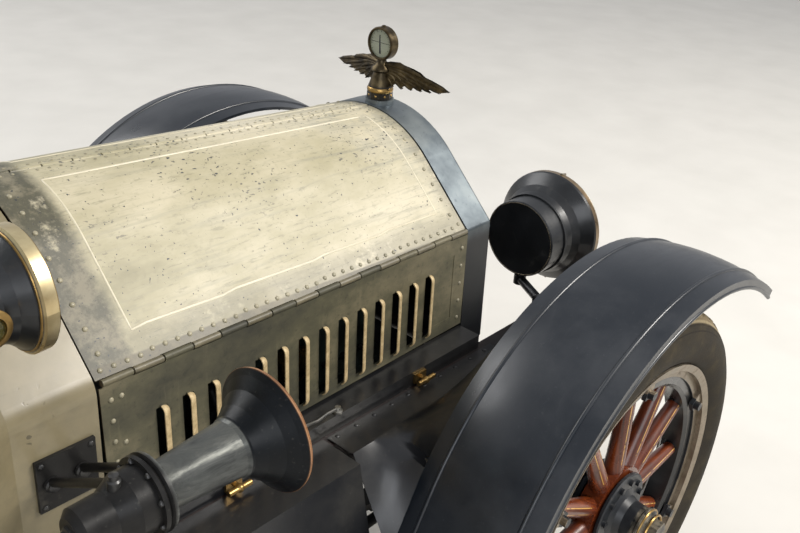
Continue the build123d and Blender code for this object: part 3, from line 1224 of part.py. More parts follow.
def headlamps():
    """Short drum lamps that flare to wide rims, each on a bracket that leans in from the rail."""
    drum, rim_radius = LAMP_DRUM, LAMP_RIM
    x, y, z = LAMP_PLACE
    lamp = turned_x(
        LAMP_PLACE, (-85, 0), (-85, drum - 2), (-82, drum), (-36, drum), (-35, drum + 4), (-29, drum + 4), (-27, drum),
        (-10, drum + 6), (8, drum + 17), (24, rim_radius - 9), (31, rim_radius - 2), (36, rim_radius), (49, rim_radius),
        (54, rim_radius - 5), (46, rim_radius - 8), (30, rim_radius - 16), (4, drum - 2), (-20, drum - 14),
        (-50, drum - 38), (-66, 30), (-70, 0),
    )
    foot = (LAMP_POST_X, SPRING_Y, RAIL_TOP_Z + SEAT)
    under = (x - 55, y, z - drum - 22)
    lamp += rod(foot, (LAMP_POST_X, SPRING_Y, RAIL_TOP_Z + 9), 20)
    lamp += rod((LAMP_POST_X, SPRING_Y, RAIL_TOP_Z + 5), (LAMP_POST_X + 8, SPRING_Y - 8, under[2]), 11)
    lamp += Pos(LAMP_POST_X + 8, SPRING_Y - 8, under[2]) * Sphere(11)
    lamp += rod((LAMP_POST_X + 8, SPRING_Y - 8, under[2]), under, 11)
    lamp += rod((under[0], y, under[2] - 12), (under[0], y, z - drum + 5), 15)
    return both_sides(lamp)


def cowl_lamps():
    """Side lamps on the scuttle's shoulders: drums that flare to wide rims, with a round lens outside."""
    x, y, z = SIDE_LAMP_PLACE
    drum, rim_radius = SIDE_LAMP_DRUM, SIDE_LAMP_RIM
    lamp = turned_x(
        SIDE_LAMP_PLACE, (-60, 0), (-60, drum - 12), (-50, drum), (0, drum), (14, drum + 5), (28, rim_radius - 8),
        (34, rim_radius), (50, rim_radius - 1), (53, rim_radius - 8), (44, rim_radius - 10), (20, drum - 2),
        (0, drum - 10), (-42, drum - 24), (-50, 0),
    )
    lamp += rod((x - 24, y + drum - 8, z), (x - 24, y + drum + 12, z), 21)
    lamp += rod((x - 8, y, z - drum + 8), (x - 8, 250, 1085), 8)
    lamp = on_cowl(lamp)
    return both_sides(max(lamp.solids(), key=lambda piece: piece.volume))


def lamp_glass():
    x, y, z = LAMP_PLACE
    panes = rod((x + 47.5, y, z), (x + 51, y, z), LAMP_RIM - 8 - SEAT)
    x, y, z = SIDE_LAMP_PLACE
    small = rod((x + 45.5, y, z), (x + 49, y, z), SIDE_LAMP_RIM - 10 - SEAT)
    return group(both_sides(panes), both_sides(small))


def tail_lamp():
    x = BODY_REAR_X
    place = (x - 60, -330, 900)
    lamp = turned_x(place, (0, 0), (0, 30), (-8, 38), (-50, 38), (-56, 30), (-60, 0))
    return Compound([lamp + rod((x - SEAT, -330, 900), (x - 66, -330, 900), 12)])


def horn():
    """Trumpet with a tapering tube, a ringed flange and a motor, on two legs to the cowl's right side."""
    x, y, z = HORN_PLACE
    bell, tube, flange = HORN_BELL, HORN_TUBE, HORN_FLANGE
    neck = tube - 8
    body = turned_x(
        (x, -y, z), (0, bell), (-4, bell + 1), (-10, bell - 7), (-22, bell - 21), (-38, bell - 34), (-52, tube + 3),
        (-56, tube + 2), (-60, tube), (-166, neck), (-166, flange), (-171, flange + 1), (-174, flange - 3),
        (-177, flange + 1), (-182, flange), (-182, neck + 12), (-204, neck + 11), (-220, neck + 3), (-226, neck),
        (-262, neck - 1), (-270, neck - 9), (-270, 0), (-110, 0), (-110, neck - 2), (-56, tube - 6),
        (-38, bell - 41), (-20, bell - 28), (0, bell - 5),
    )
    foot_y = COWL_SECTIONS[0][1] + SEAT
    plate = box(x - 160, x - 66, -foot_y - 6, -foot_y, 872, 962)
    for dx, reach in ((-92, 23), (-140, 16)):
        plate += rod((x + dx, -y + reach, z - reach), (x + dx, -foot_y - 3, 918), 7)
    return body + plate


def hand_levers():
    """Gear and brake levers on a foot inside the driver's right."""
    floor, y = FLOOR_Z + FLOOR_SHEET + SEAT, -BODY_FRONT[1] + BODY_WALL + 34
    made = box(-1800, -1680, y - 22, y + 22, floor, floor + 26)
    for dx, lean, top in ((0, -40, 1120), (36, 30, 1090)):
        foot = (-1760 + dx, y, floor + 20)
        tip = (-1760 + dx + lean, y, top)
        made += rod(foot, tip, 8)
        made += Pos(*tip) * Sphere(19)
    return made


def pedals():
    """Three pedals on the sloping toe of the floor."""
    floor = FLOOR_Z + FLOOR_SHEET + SEAT
    made = box(-1330, -1290, -390, -90, floor, floor + 14)
    for y in (-345, -195, -125):
        made += rod((-1310, y, floor + 10), (-1270, y, floor + 170), 8)
        made += Pos(-1272, y, floor + 172) * Rot(0, 20, 0) * Box(12, 56, 74)
    return made


NODES = {
    "chassis_frame": chassis_frame,
    "leaf_springs": leaf_springs,
    "front_axle": front_axle,
    "rear_axle": rear_axle,
    "engine_block": engine,
    "gearbox": gearbox,
    "exhaust": exhaust,
    "fuel_tank": fuel_tank,
    "mud_pans": mud_pans,
    "left_knuckle": knuckle,
    "right_knuckle": lambda: other_side(knuckle()) + steering_arm(),
    "tie_rod": tie_rod,
    "drag_link": drag_link,
    "drop_arm": drop_arm,
    "steering_column": steering_column,
    "steering_wheel": steering_wheel,
    "radiator_shell": radiator_shell,
    "radiator_core": radiator_core,
    "radiator_cap": radiator_cap,
    "hood_top_left": lambda: hood_top(0),
    "hood_top_right": lambda: other_side(hood_top(1)),
    "hood_side_left": hood_side,
    "hood_side_right": lambda: other_side(hood_side()),
    "hood_hinge_rod": hood_hinge_rod,
    "hood_sills": hood_sills,
    "hood_catches": hood_catches,
    "cowl": cowl,
    "firewall": firewall,
    "body_tub": body_tub,
    "floorboards": floorboards,
    "front_door_left": lambda: door("front"),
    "front_door_right": lambda: other_side(door("front")),
    "rear_door_left": lambda: door("rear"),
    "rear_door_right": lambda: other_side(door("rear")),
    "front_seat_cushions": lambda: bench(FRONT_SEAT, 150, TONNEAU_Z + 40),
    "rear_seat_cushions": lambda: bench(REAR_SEAT, 190, TONNEAU_Z + 70),
    "windshield_frame": windshield,
    "front_fenders": front_fenders,
    "rear_fenders": rear_fenders,
    "running_boards": running_boards,
    "splash_aprons": splash_aprons,
    "lamps": lambda: group(headlamps(), cowl_lamps(), tail_lamp()),
    "glass": lambda: group(windshield_glass(), lamp_glass()),
    "horn": horn,
    "levers_and_pedals": lambda: group(hand_levers(), pedals()),
}


def build():
    shapes = wheel_nodes()
    shapes.update({name: make() for name, make in NODES.items()})
    return {name: Pos(FRONT_AXLE_X, 0, 0) * shape for name, shape in shapes.items()}


os.makedirs("parts", exist_ok=True)
for node, shape in build().items():
    export_step(shape, f"parts/{node}.step")
    print(node, len(shape.solids()), round(shape.volume / 1000))
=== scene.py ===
import math

import bmesh
import bpy
import numpy as np
from mathutils import Matrix, Vector
from mathutils.bvhtree import BVHTree


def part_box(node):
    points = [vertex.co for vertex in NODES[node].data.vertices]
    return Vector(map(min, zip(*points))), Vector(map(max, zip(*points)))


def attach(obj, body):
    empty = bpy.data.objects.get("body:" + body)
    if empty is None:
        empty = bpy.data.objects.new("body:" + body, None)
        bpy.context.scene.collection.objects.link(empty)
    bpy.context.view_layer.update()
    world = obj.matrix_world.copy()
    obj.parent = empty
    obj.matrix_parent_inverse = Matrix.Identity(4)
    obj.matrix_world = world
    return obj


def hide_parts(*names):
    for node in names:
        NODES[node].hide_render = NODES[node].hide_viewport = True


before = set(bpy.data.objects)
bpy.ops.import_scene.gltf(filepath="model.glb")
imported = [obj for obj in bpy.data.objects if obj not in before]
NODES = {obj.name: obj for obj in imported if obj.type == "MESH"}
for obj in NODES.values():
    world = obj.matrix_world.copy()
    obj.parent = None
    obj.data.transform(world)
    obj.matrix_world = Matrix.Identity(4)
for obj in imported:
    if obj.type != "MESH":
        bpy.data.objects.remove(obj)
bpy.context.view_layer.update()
AXLE_X = sum(c.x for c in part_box("front_right_tyre")) / 2
REAR_X = sum(c.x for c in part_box("rear_right_tyre")) / 2
WHEEL_Z = 0.470
WHEEL_Y = 0.7175


def at(x, y, z):
    """A place in millimetres from the ground under the front axle, as metres in the row frame."""
    return Vector((x / 1000 + AXLE_X, y / 1000, z / 1000))


# Materials
def rgb(text):
    """Linear colour of a written sRGB value such as c8bb97."""
    parts = [int(text[i:i + 2], 16) / 255 for i in (0, 2, 4)]
    return [p / 12.92 if p <= 0.04045 else ((p + 0.055) / 1.055) ** 2.4 for p in parts] + [1.0]


class Look:
    """A node material while it is being made. Its coordinates are metres in the row frame."""

    def __init__(self, name):
        self.material = bpy.data.materials.new(name)
        self.material.use_nodes = True
        self.tree = self.material.node_tree
        self.tree.nodes.clear()
        self.output = self.tree.nodes.new("ShaderNodeOutputMaterial")
        self.shader = self.tree.nodes.new("ShaderNodeBsdfPrincipled")
        self.tree.links.new(self.shader.outputs[0], self.output.inputs[0])
        self.where = self.tree.nodes.new("ShaderNodeTexCoord").outputs["Object"]
        split = self.node("ShaderNodeSeparateXYZ", self.where)
        self.x, self.y, self.z = split.outputs

    def put(self, socket, value):
        if isinstance(value, bpy.types.NodeSocket):
            self.tree.links.new(value, socket)
        elif isinstance(value, str):
            socket.default_value = rgb(value)
        elif value is not None:
            socket.default_value = value

    def node(self, kind, *values, **settings):
        made = self.tree.nodes.new(kind)
        for key, value in settings.items():
            setattr(made, key, value)
        for k, value in enumerate(values):
            self.put(made.inputs[k], value)
        return made

    def math(self, operation, a, b=None):
        return self.node("ShaderNodeMath", a, b, operation=operation).outputs[0]

    def stretched(self, scale, shift=(0, 0, 0)):
        made = self.node("ShaderNodeMapping", self.where)
        made.inputs["Scale"].default_value = scale
        made.inputs["Location"].default_value = shift
        return made.outputs[0]

    def times(self, a, b):
        return self.math("MULTIPLY", a, b)

    def plus(self, a, b):
        return self.math("ADD", a, b)

    def minus(self, a, b):
        return self.math("SUBTRACT", a, b)

    def flip(self, a):
        return self.math("SUBTRACT", 1.0, a)

    def size(self, a):
        return self.math("ABSOLUTE", a)

    def most(self, a, b):
        return self.math("MAXIMUM", a, b)

    def noise(self, scale, detail=4.0, rough=0.55, where=None, warp=0.0):
        made = self.tree.nodes.new("ShaderNodeTexNoise")
        self.put(made.inputs["Vector"], where or self.where)
        for key, value in (("Scale", scale), ("Detail", detail), ("Roughness", rough), ("Distortion", warp)):
            made.inputs[key].default_value = value
        return made.outputs[0]

    def cells(self, scale):
        """Distance to the nearest edge between small cells."""
        made = self.node("ShaderNodeTexVoronoi", feature="DISTANCE_TO_EDGE")
        self.put(made.inputs["Vector"], self.where)
        made.inputs["Scale"].default_value = scale
        return made.outputs["Distance"]

    def ramp(self, value, *stops):
        """Colour by value: stops are (place, colour) or (place, grey level)."""
        made = self.node("ShaderNodeValToRGB", value)
        elements = made.color_ramp.elements
        while len(elements) < len(stops):
            elements.new(0.5)
        for element, (place, colour) in zip(elements, stops):
            element.position = place
            element.color = rgb(colour) if isinstance(colour, str) else (colour, colour, colour, 1)
        return made.outputs[0]

    def step(self, value, low, high):
        """0 below low, 1 above high, smooth between."""
        made = self.node("ShaderNodeMapRange", value, interpolation_type="SMOOTHSTEP")
        made.inputs["From Min"].default_value = low
        made.inputs["From Max"].default_value = high
        return made.outputs[0]

    def mix(self, share, a, b):
        made = self.node("ShaderNodeMix", data_type="RGBA")
        for k, value in ((0, share), (6, a), (7, b)):
            self.put(made.inputs[k], value)
        return made.outputs[2]

    def over(self, colour, laid, value, low, high, weight=None):
        """The colour with another laid over it where value passes from low to high."""
        share = self.step(value, low, high)
        return self.mix(share if weight is None else self.times(share, weight), colour, laid)

    def bump(self, height, depth, strength=1.0, below=None):
        made = self.tree.nodes.new("ShaderNodeBump")
        self.put(made.inputs["Height"], height)
        made.inputs["Distance"].default_value = depth
        made.inputs["Strength"].default_value = strength
        self.put(made.inputs["Normal"], below)
        return made.outputs[0]

    def done(self, colour, rough=0.5, normal=None, metal=0.0, **constants):
        self.put(self.shader.inputs["Base Color"], colour)
        self.put(self.shader.inputs["Roughness"], rough)
        self.put(self.shader.inputs["Metallic"], metal)
        self.put(self.shader.inputs["Normal"], normal)
        for key, value in constants.items():
            self.shader.inputs[key.replace("_", " ")].default_value = value
        return self.material

    def wheel_place(self):
        """Distance from the nearest axle line, distance out from the wheel's middle plane, run and rise."""
        middle = (AXLE_X + REAR_X) / 2
        dx = self.minus(self.size(self.minus(self.x, middle)), AXLE_X - middle)
        dz = self.minus(self.z, WHEEL_Z)
        radius = self.math("SQRT", self.plus(self.times(dx, dx), self.times(dz, dz)))
        out = self.minus(self.size(self.y), WHEEL_Y)
        return radius, out, dx, dz


def worn_paint(name, base, light, dark, chip, rough=0.5, chips=0.0, dirt=0.5, gloss=0.2):
    """Old paint: clouded colour, lengthwise rubbing marks, small chips and grime in the lows."""
    k = Look(name)
    cloud = k.noise(3.1, 5, 0.6)
    fine = k.noise(38, 6, 0.65)
    rubbed = k.noise(26, 5, 0.7, k.stretched((0.12, 1, 1)), 0.4)
    colour = k.ramp(cloud, (0.32, dark), (0.5, base), (0.68, light))
    colour = k.over(colour, dark, rubbed, 0.5, 0.72, 0.35)
    colour = k.over(colour, chip, fine, 0.46, 0.7, 0.3 * dirt)
    mottled = k.noise(11, 7, 0.7)
    colour = k.over(colour, dark, mottled, 0.56, 0.74, dirt)
    height = fine
    if chips:
        spots = k.noise(64, 2, 0.4)
        where = k.noise(2.3, 2, 0.5, k.stretched((1, 1, 1), (5, 2, 1)))
        share = k.times(k.step(spots, 0.66, 0.69), k.step(where, 0.62 - 0.2 * chips, 0.7 - 0.2 * chips))
        colour = k.mix(share, colour, chip)
        height = k.minus(fine, k.times(share, 3.0))
    roughness = k.ramp(mottled, (0.3, rough - 0.08), (0.7, rough + 0.14))
    return k.done(colour, roughness, k.bump(height, 0.0004, 0.35), Coat_Weight=gloss, Coat_Roughness=0.25)


def enamel(name, base, dust, rough=0.36, amount=0.4, gloss=0.3):
    """Dark stove enamel, rubbed and dusty, with swirled wipe marks."""
    k = Look(name)
    cloud = k.noise(4.3, 6, 0.62)
    fine = k.noise(120, 4, 0.6)
    wipe = k.noise(18, 5, 0.7, k.stretched((0.25, 1, 0.6)), 1.2)
    share = k.times(k.step(cloud, 0.42, 0.78), amount)
    colour = k.mix(share, base, dust)
    colour = k.over(colour, dust, wipe, 0.55, 0.8, 0.35 * amount)
    colour = k.over(colour, dust, fine, 0.62, 0.72, 0.5 * amount)
    roughness = k.ramp(k.plus(k.times(cloud, 0.6), k.times(wipe, 0.4)),
                       (0.35, rough - 0.1), (0.7, rough + 0.16))
    return k.done(colour, roughness, k.bump(fine, 0.0002, 0.25), 0.0, Coat_Weight=gloss, Coat_Roughness=0.2)


def metal(name, base, stain, rough=0.32, amount=0.5):
    """Bare or plated metal with tarnish, fine scratches and stains."""
    k = Look(name)
    cloud = k.noise(30, 6, 0.65)
    fine = k.noise(270, 4, 0.6)
    colour = k.mix(k.times(k.step(cloud, 0.4, 0.7), amount), base, stain)
    roughness = k.ramp(cloud, (0.3, rough - 0.1), (0.75, rough + 0.2))
    return k.done(colour, roughness, k.bump(fine, 0.0002, 0.3), k.ramp(cloud, (0.45, 1.0), (0.8, 0.7)))


def grained(name, base, dark, rough=0.4, gloss=0.4):
    """Wood with its grain along the car."""
    k = Look(name)
    rings = k.noise(34, 6, 0.6, k.stretched((0.06, 1, 1)), 1.6)
    pores = k.noise(210, 3, 0.6, k.stretched((0.0036, 1, 1)))
    worn = k.noise(7, 4, 0.6)
    colour = k.ramp(rings, (0.3, dark), (0.62, base))
    colour = k.over(colour, dark, pores, 0.55, 0.7, 0.45)
    colour = k.over(colour, dark, worn, 0.5, 0.8, 0.3)
    return k.done(colour, k.ramp(worn, (0.3, rough - 0.08), (0.8, rough + 0.2)), k.bump(rings, 0.0006, 0.35),
                  Coat_Weight=gloss, Coat_Roughness=0.15)


def cast(name, base, oil, rough=0.6, metallic=0.5):
    k = Look(name)
    grit = k.noise(170, 5, 0.7)
    cloud = k.noise(9, 6, 0.65)
    colour = k.ramp(cloud, (0.35, oil), (0.62, base))
    colour = k.over(colour, oil, grit, 0.55, 0.75, 0.4)
    roughness = k.ramp(cloud, (0.3, rough - 0.2), (0.7, rough + 0.1))
    return k.done(colour, roughness, k.bump(grit, 0.0008, 0.4), metallic)


def leather(name, base, dark):
    k = Look(name)
    grain = k.cells(420)
    crease = k.noise(24, 6, 0.65, warp=0.8)
    worn = k.noise(5, 4, 0.6)
    colour = k.ramp(worn, (0.3, dark), (0.7, base))
    colour = k.over(colour, dark, crease, 0.5, 0.75, 0.5)
    below = k.bump(crease, 0.002, 0.3)
    return k.done(colour, k.ramp(worn, (0.3, 0.5), (0.75, 0.34)), k.bump(grain, 0.0006, 0.5, below),
                  Sheen_Weight=0.08, Coat_Weight=0.15, Coat_Roughness=0.4)


def tyre_rubber():
    k = Look("tyre_rubber")
    radius, _, _, _ = k.wheel_place()
    dust = k.noise(14, 6, 0.65)
    grit = k.noise(180, 4, 0.65)
    colour = k.ramp(dust, (0.3, "1d1a15"), (0.5, "2f2a21"), (0.72, "494131"))
    tread = k.times(k.step(radius, 0.448, 0.462), k.step(dust, 0.3, 0.6))
    colour = k.mix(tread, colour, "a08f70")
    groove = k.flip(k.step(k.size(k.minus(radius, 0.4365)), 0.0006, 0.0016))
    colour = k.mix(groove, colour, "1e1a15")
    shoulder = k.flip(k.step(k.size(k.minus(radius, 0.4535)), 0.001, 0.004))
    colour = k.mix(k.times(shoulder, 0.6), colour, "b3a382")
    bead = k.flip(k.step(radius, 0.356, 0.39))
    colour = k.mix(k.times(bead, 0.8), colour, "35312b")
    colour = k.over(colour, "3c372f", grit, 0.5, 0.72, 0.4)
    crack = k.noise(55, 7, 0.75, k.stretched((1, 0.4, 1)))
    height = k.plus(k.times(grit, 0.5), crack)
    return k.done(colour, k.ramp(dust, (0.3, 0.7), (0.7, 0.92)), k.bump(height, 0.0008, 0.5),
                  Specular_IOR_Level=0.2)


def wheel_metal():
    """Silvered rim, black felloe band inside it, black hub with worn edges."""
    k = Look("wheel_metal")
    radius, out, _, _ = k.wheel_place()
    cloud = k.noise(26, 6, 0.65)
    grit = k.noise(150, 4, 0.6)
    rim = k.step(radius, 0.3225, 0.3235)
    silver = k.ramp(cloud, (0.35, "7c7263"), (0.55, "958a7a"), (0.72, "5c4b39"))
    black = k.ramp(cloud, (0.35, "14161a"), (0.6, "1d2024"), (0.8, "4a453c"))
    nose = k.times(k.flip(k.step(radius, 0.0475, 0.049)), k.step(out, 0.078, 0.082))
    colour = k.mix(rim, black, silver)
    colour = k.mix(k.times(nose, k.step(cloud, 0.4, 0.6)), colour, "8a8272")
    shine = k.most(k.times(rim, k.ramp(cloud, (0.5, 0.9), (0.7, 0.35))), k.times(nose, 0.6))
    return k.done(colour, k.ramp(cloud, (0.3, 0.3), (0.75, 0.55)), k.bump(grit, 0.0003, 0.3), shine)


def wheel_wood():
    """Varnished spokes with gold lines, their grain along each spoke, and a black felloe."""
    k = Look("wheel_wood")
    radius, out, dx, dz = k.wheel_place()
    angle = k.math("ARCTAN2", dz, dx)
    place = k.node("ShaderNodeCombineXYZ", k.times(radius, 0.08), k.times(angle, 0.25), k.y)
    grain = k.noise(42, 6, 0.6, place.outputs[0], 1.2)
    cloud = k.noise(13, 5, 0.6)
    colour = k.ramp(grain, (0.28, "2c1007"), (0.5, "5d270e"), (0.72, "803d18"))
    colour = k.over(colour, "40190d", cloud, 0.48, 0.75, 0.6)
    # Painted shade: the spokes turn darker brown near the hub and near the felloe, where they meet those
    # parts.
    ends = k.most(k.step(radius, 0.28, 0.3), k.flip(k.step(radius, 0.1, 0.125)))
    colour = k.mix(k.times(ends, 0.4), colour, "4a1f10")
    turn = k.times(angle, 12 / (2 * math.pi))
    off = k.size(k.minus(k.math("FRACT", k.plus(turn, 12.5)), 0.5))
    aside = k.times(k.times(off, 2 * math.pi / 12), radius)
    line = k.flip(k.step(k.size(k.minus(aside, 0.0075)), 0.0006, 0.0013))
    line = k.times(line, k.times(k.step(radius, 0.125, 0.13), k.step(out, 0.004, 0.008)))
    worn = k.step(k.noise(60, 4, 0.6), 0.36, 0.5)
    colour = k.mix(k.times(line, worn), colour, "c79a52")
    black = k.step(radius, 0.2925, 0.2945)
    felloe = k.ramp(cloud, (0.35, "131416"), (0.6, "202020"), (0.8, "4b443a"))
    colour = k.mix(black, colour, felloe)
    return k.done(colour, k.ramp(cloud, (0.3, 0.22), (0.75, 0.42)), k.bump(grain, 0.0004, 0.25),
                  Coat_Weight=0.3, Coat_Roughness=0.15)


def hood_cream():
    """Bonnet top: rubbed cream paint, grey where it is thin, dark mottled bands at the ends and corner."""
    k = Look("hood_cream")
    low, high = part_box("hood_top_right")
    cloud = k.noise(4.2, 6, 0.6, k.stretched((0.55, 1, 1), (1.3, 0.4, 0)))
    broad = k.noise(2.1, 3, 0.5, k.stretched((0.8, 1, 1), (0.2, 3.1, 0)))
    streak = k.noise(74, 6, 0.72, k.stretched((0.05, 1, 1)), 0.2)
    scuff = k.noise(130, 5, 0.7, k.stretched((0.16, 1, 1), (0, 2, 0)))
    fine = k.noise(95, 5, 0.7)
    mottle = k.noise(19, 8, 0.72)
    colour = k.ramp(cloud, (0.30, "7f7a60"), (0.43, "a59d7f"), (0.57, "bfb69b"), (0.74, "cdc4ac"))
    rubbed = k.times(k.step(streak, 0.5, 0.66), k.ramp(broad, (0.35, 0.25), (0.65, 0.75)))
    colour = k.mix(rubbed, colour, "8c8977")
    colour = k.over(colour, "75735f", scuff, 0.56, 0.68, 0.45)
    colour = k.over(colour, "827d68", fine, 0.54, 0.7, 0.35)
    grey = k.times(k.step(broad, 0.48, 0.66), k.step(mottle, 0.42, 0.6))
    colour = k.mix(k.times(grey, 0.42), colour, "8b8c84")
    side = k.size(k.y)
    spread = k.plus(k.x, k.times(mottle, 0.03))
    rear = k.flip(k.step(spread, low.x + 0.078, low.x + 0.108))
    front = k.step(spread, high.x - 0.03, high.x + 0.02)
    edge = k.times(k.step(side, 0.262, 0.29), 0.42)
    band = k.most(k.times(rear, 0.95), k.most(k.times(front, 0.5), edge))
    grime = k.ramp(mottle, (0.36, "2f2f26"), (0.5, "4a4838"), (0.62, "77705c"))
    colour = k.mix(k.times(band, k.step(mottle, 0.3, 0.46)), colour, grime)
    rolled = k.step(side, 0.3035, 0.3065)
    colour = k.mix(k.times(rolled, 0.8), colour, k.ramp(mottle, (0.35, "3a3528"), (0.6, "625a45")))
    crown = k.flip(k.step(side, 0.10, 0.24))
    spots = k.noise(150, 2.5, 0.5, k.stretched((0.6, 1, 1)))
    where = k.step(k.noise(6, 3, 0.5, k.stretched((1, 1, 1), (4, 1, 0))), 0.4, 0.56)
    chips = k.times(k.step(spots, 0.645, 0.66), k.times(crown, where))
    few = k.step(k.noise(190, 2, 0.4), 0.72, 0.725)
    chips = k.most(chips, few)
    colour = k.mix(chips, colour, "33363a")
    height = k.minus(k.times(fine, 0.6), k.times(chips, 2.0))
    roughness = k.ramp(cloud, (0.3, 0.52), (0.75, 0.4))
    return k.done(colour, roughness, k.bump(height, 0.0004, 0.35), Coat_Weight=0.1, Coat_Roughness=0.35)


def hood_side_paint():
    """Bonnet side: dark olive patina, paler where it has been rubbed, with a painted highlight in tan on the
    louvres' bulges.
    """
    k = Look("hood_side_paint")
    cloud = k.noise(7, 7, 0.66, k.stretched((0.6, 1, 1)))
    fine = k.noise(85, 5, 0.7)
    streak = k.noise(40, 5, 0.7, k.stretched((1, 1, 0.12)))
    colour = k.ramp(cloud, (0.32, "35342b"), (0.5, "514e3c"), (0.66, "736b54"))
    colour = k.over(colour, "2a2923", fine, 0.54, 0.7, 0.5)
    colour = k.over(colour, "80775e", streak, 0.55, 0.75, 0.3)
    plane = k.times(k.minus(AXLE_X - 0.057, k.x), 14 / 896)
    plane = k.plus(plane, k.times(k.flip(k.z), 7 / 222))
    proud = k.minus(k.minus(k.size(k.y), 0.3132), plane)
    # Painted highlight: tan laid on the louvres' bulges where they stand proud of the panel, below the top
    # edge.
    lit_bulge = k.times(k.step(proud, 0.0006, 0.0026), k.flip(k.step(k.z, 0.955, 0.965)))
    colour = k.mix(k.times(lit_bulge, 0.95), colour, k.ramp(fine, (0.4, "a8926a"), (0.62, "c9b389")))
    return k.done(colour, k.ramp(cloud, (0.3, 0.62), (0.7, 0.46)), k.bump(fine, 0.0005, 0.4), 0.1)


def lamp_paint():
    """Lamp bodies: black drums, blue-black flares and plated rims, told apart by place along the car."""
    k = Look("lamp_paint")
    cloud = k.noise(11, 6, 0.62)
    fine = k.noise(150, 4, 0.6)
    wipe = k.noise(30, 5, 0.7, k.stretched((0.3, 1, 1)), 1.0)
    colour = k.ramp(cloud, (0.35, "0f1113"), (0.6, "191b1e"), (0.82, "3b3b38"))
    colour = k.over(colour, "6b6a64", wipe, 0.56, 0.78, 0.25)
    plate = k.ramp(cloud, (0.34, "6f5c43"), (0.55, "937f64"), (0.75, "5e4d38"))
    pale = k.ramp(cloud, (0.34, "b09a70"), (0.55, "d2c298"), (0.75, "a08a5f"))
    plate = k.mix(k.math("LESS_THAN", k.x, AXLE_X - 0.5), plate, pale)
    rims = None
    for lamp_x, start in ((0.263, 0.036), (-1.143, 0.031)):
        gap = k.minus(k.x, AXLE_X + lamp_x)
        here = k.times(k.step(gap, start, start + 0.0015), k.flip(k.step(gap, 0.07, 0.072)))
        rims = here if rims is None else k.most(rims, here)
    colour = k.mix(rims, colour, plate)
    rough = k.ramp(cloud, (0.3, 0.26), (0.75, 0.44))
    return k.done(colour, rough, k.bump(fine, 0.0002, 0.25), k.times(rims, 0.85),
                  Coat_Weight=0.2, Coat_Roughness=0.2)


def horn_paint():
    """Horn: blue-black bell with a bare lip, grey worn tube, black motor."""
    k = Look("horn_paint")
    cloud = k.noise(16, 6, 0.65)
    worn = k.noise(34, 6, 0.7, k.stretched((0.25, 1, 1)), 0.8)
    fine = k.noise(160, 4, 0.6)
    bell = k.ramp(cloud, (0.35, "04070a"), (0.6, "080d12"), (0.82, "1a1f23"))
    tube = k.ramp(worn, (0.3, "232424"), (0.5, "4a4c4a"), (0.7, "73746f"))
    motor = k.ramp(cloud, (0.35, "131313"), (0.6, "222120"), (0.8, "565249"))
    place = k.minus(k.x, AXLE_X - 0.914)
    colour = k.mix(k.step(place, -0.056, -0.054), tube, bell)
    colour = k.over(colour, k.ramp(cloud, (0.4, "6a4a35"), (0.65, "9a7250")), place, -0.005, -0.0035)
    colour = k.mix(k.flip(k.step(place, -0.171, -0.165)), colour, motor)
    colour = k.over(colour, "77746c", fine, 0.6, 0.72, 0.12)
    middle = k.times(k.step(place, -0.165, -0.16), k.flip(k.step(place, -0.056, -0.054)))
    bare = k.times(k.step(worn, 0.46, 0.6), middle)
    foot = k.step(k.y, -0.56, -0.54)
    colour = k.mix(foot, colour, motor)
    bare = k.times(bare, k.flip(foot))
    return k.done(colour, k.ramp(cloud, (0.3, 0.28), (0.75, 0.48)), k.bump(fine, 0.0003, 0.3),
                  k.times(bare, 0.6), Specular_IOR_Level=0.22)


def ornament_metal():
    """Cap and mascot: dulled bronze above, black neck below."""
    k = Look("ornament_metal")
    cloud = k.noise(42, 6, 0.65)
    fine = k.noise(260, 4, 0.6)
    colour = k.ramp(cloud, (0.34, "29241b"), (0.52, "4a402e"), (0.72, "6b5e45"))
    lower = k.flip(k.step(k.z, 1.236, 1.239))
    colour = k.mix(lower, colour, k.ramp(cloud, (0.4, "14120f"), (0.7, "39332a")))
    shine = k.minus(0.9, k.times(lower, 0.6))
    return k.done(colour, k.ramp(cloud, (0.3, 0.26), (0.75, 0.5)), k.bump(fine, 0.0003, 0.3), shine)


def steering_look():
    """Wooden rim, dark metal spokes and boss."""
    k = Look("steering_look")
    top = at(-1650, -262, 1215)
    gaps = [k.minus(part, value) for part, value in zip((k.x, k.y, k.z), top)]
    squares = [k.times(gap, gap) for gap in gaps]
    away = k.math("SQRT", k.plus(k.plus(squares[0], squares[1]), squares[2]))
    grain = k.noise(60, 6, 0.6, k.stretched((1, 0.25, 1)), 1.0)
    cloud = k.noise(30, 5, 0.6)
    wood = k.ramp(grain, (0.3, "2d160b"), (0.62, "6d3c1e"))
    iron = k.ramp(cloud, (0.35, "1a1a1a"), (0.7, "5f5b52"))
    rim = k.step(away, 0.186, 0.189)
    return k.done(k.mix(rim, iron, wood), k.ramp(cloud, (0.3, 0.25), (0.75, 0.45)),
                  k.bump(grain, 0.0003, 0.25), k.times(k.flip(rim), 0.7),
                  Coat_Weight=0.4, Coat_Roughness=0.15)


def shell_grey():
    """Radiator shell: steel-blue plating, with black painted shade on the lower part of its sides."""
    k = Look("shell_grey")
    cloud = k.noise(6, 6, 0.6)
    fine = k.noise(110, 4, 0.6)
    colour = k.ramp(cloud, (0.3, "4a5157"), (0.5, "6c7478"), (0.7, "8d9392"))
    colour = k.over(colour, "3a4046", fine, 0.6, 0.72, 0.4)
    # Painted shade: the shell goes black below this height on its sides.
    lower = k.flip(k.step(k.plus(k.z, k.times(cloud, 0.05)), 0.985, 1.035))
    colour = k.mix(lower, colour, "15171a")
    shine = k.times(k.flip(lower), 0.75)
    return k.done(colour, k.ramp(cloud, (0.3, 0.3), (0.7, 0.46)), k.bump(fine, 0.0002, 0.25), shine)


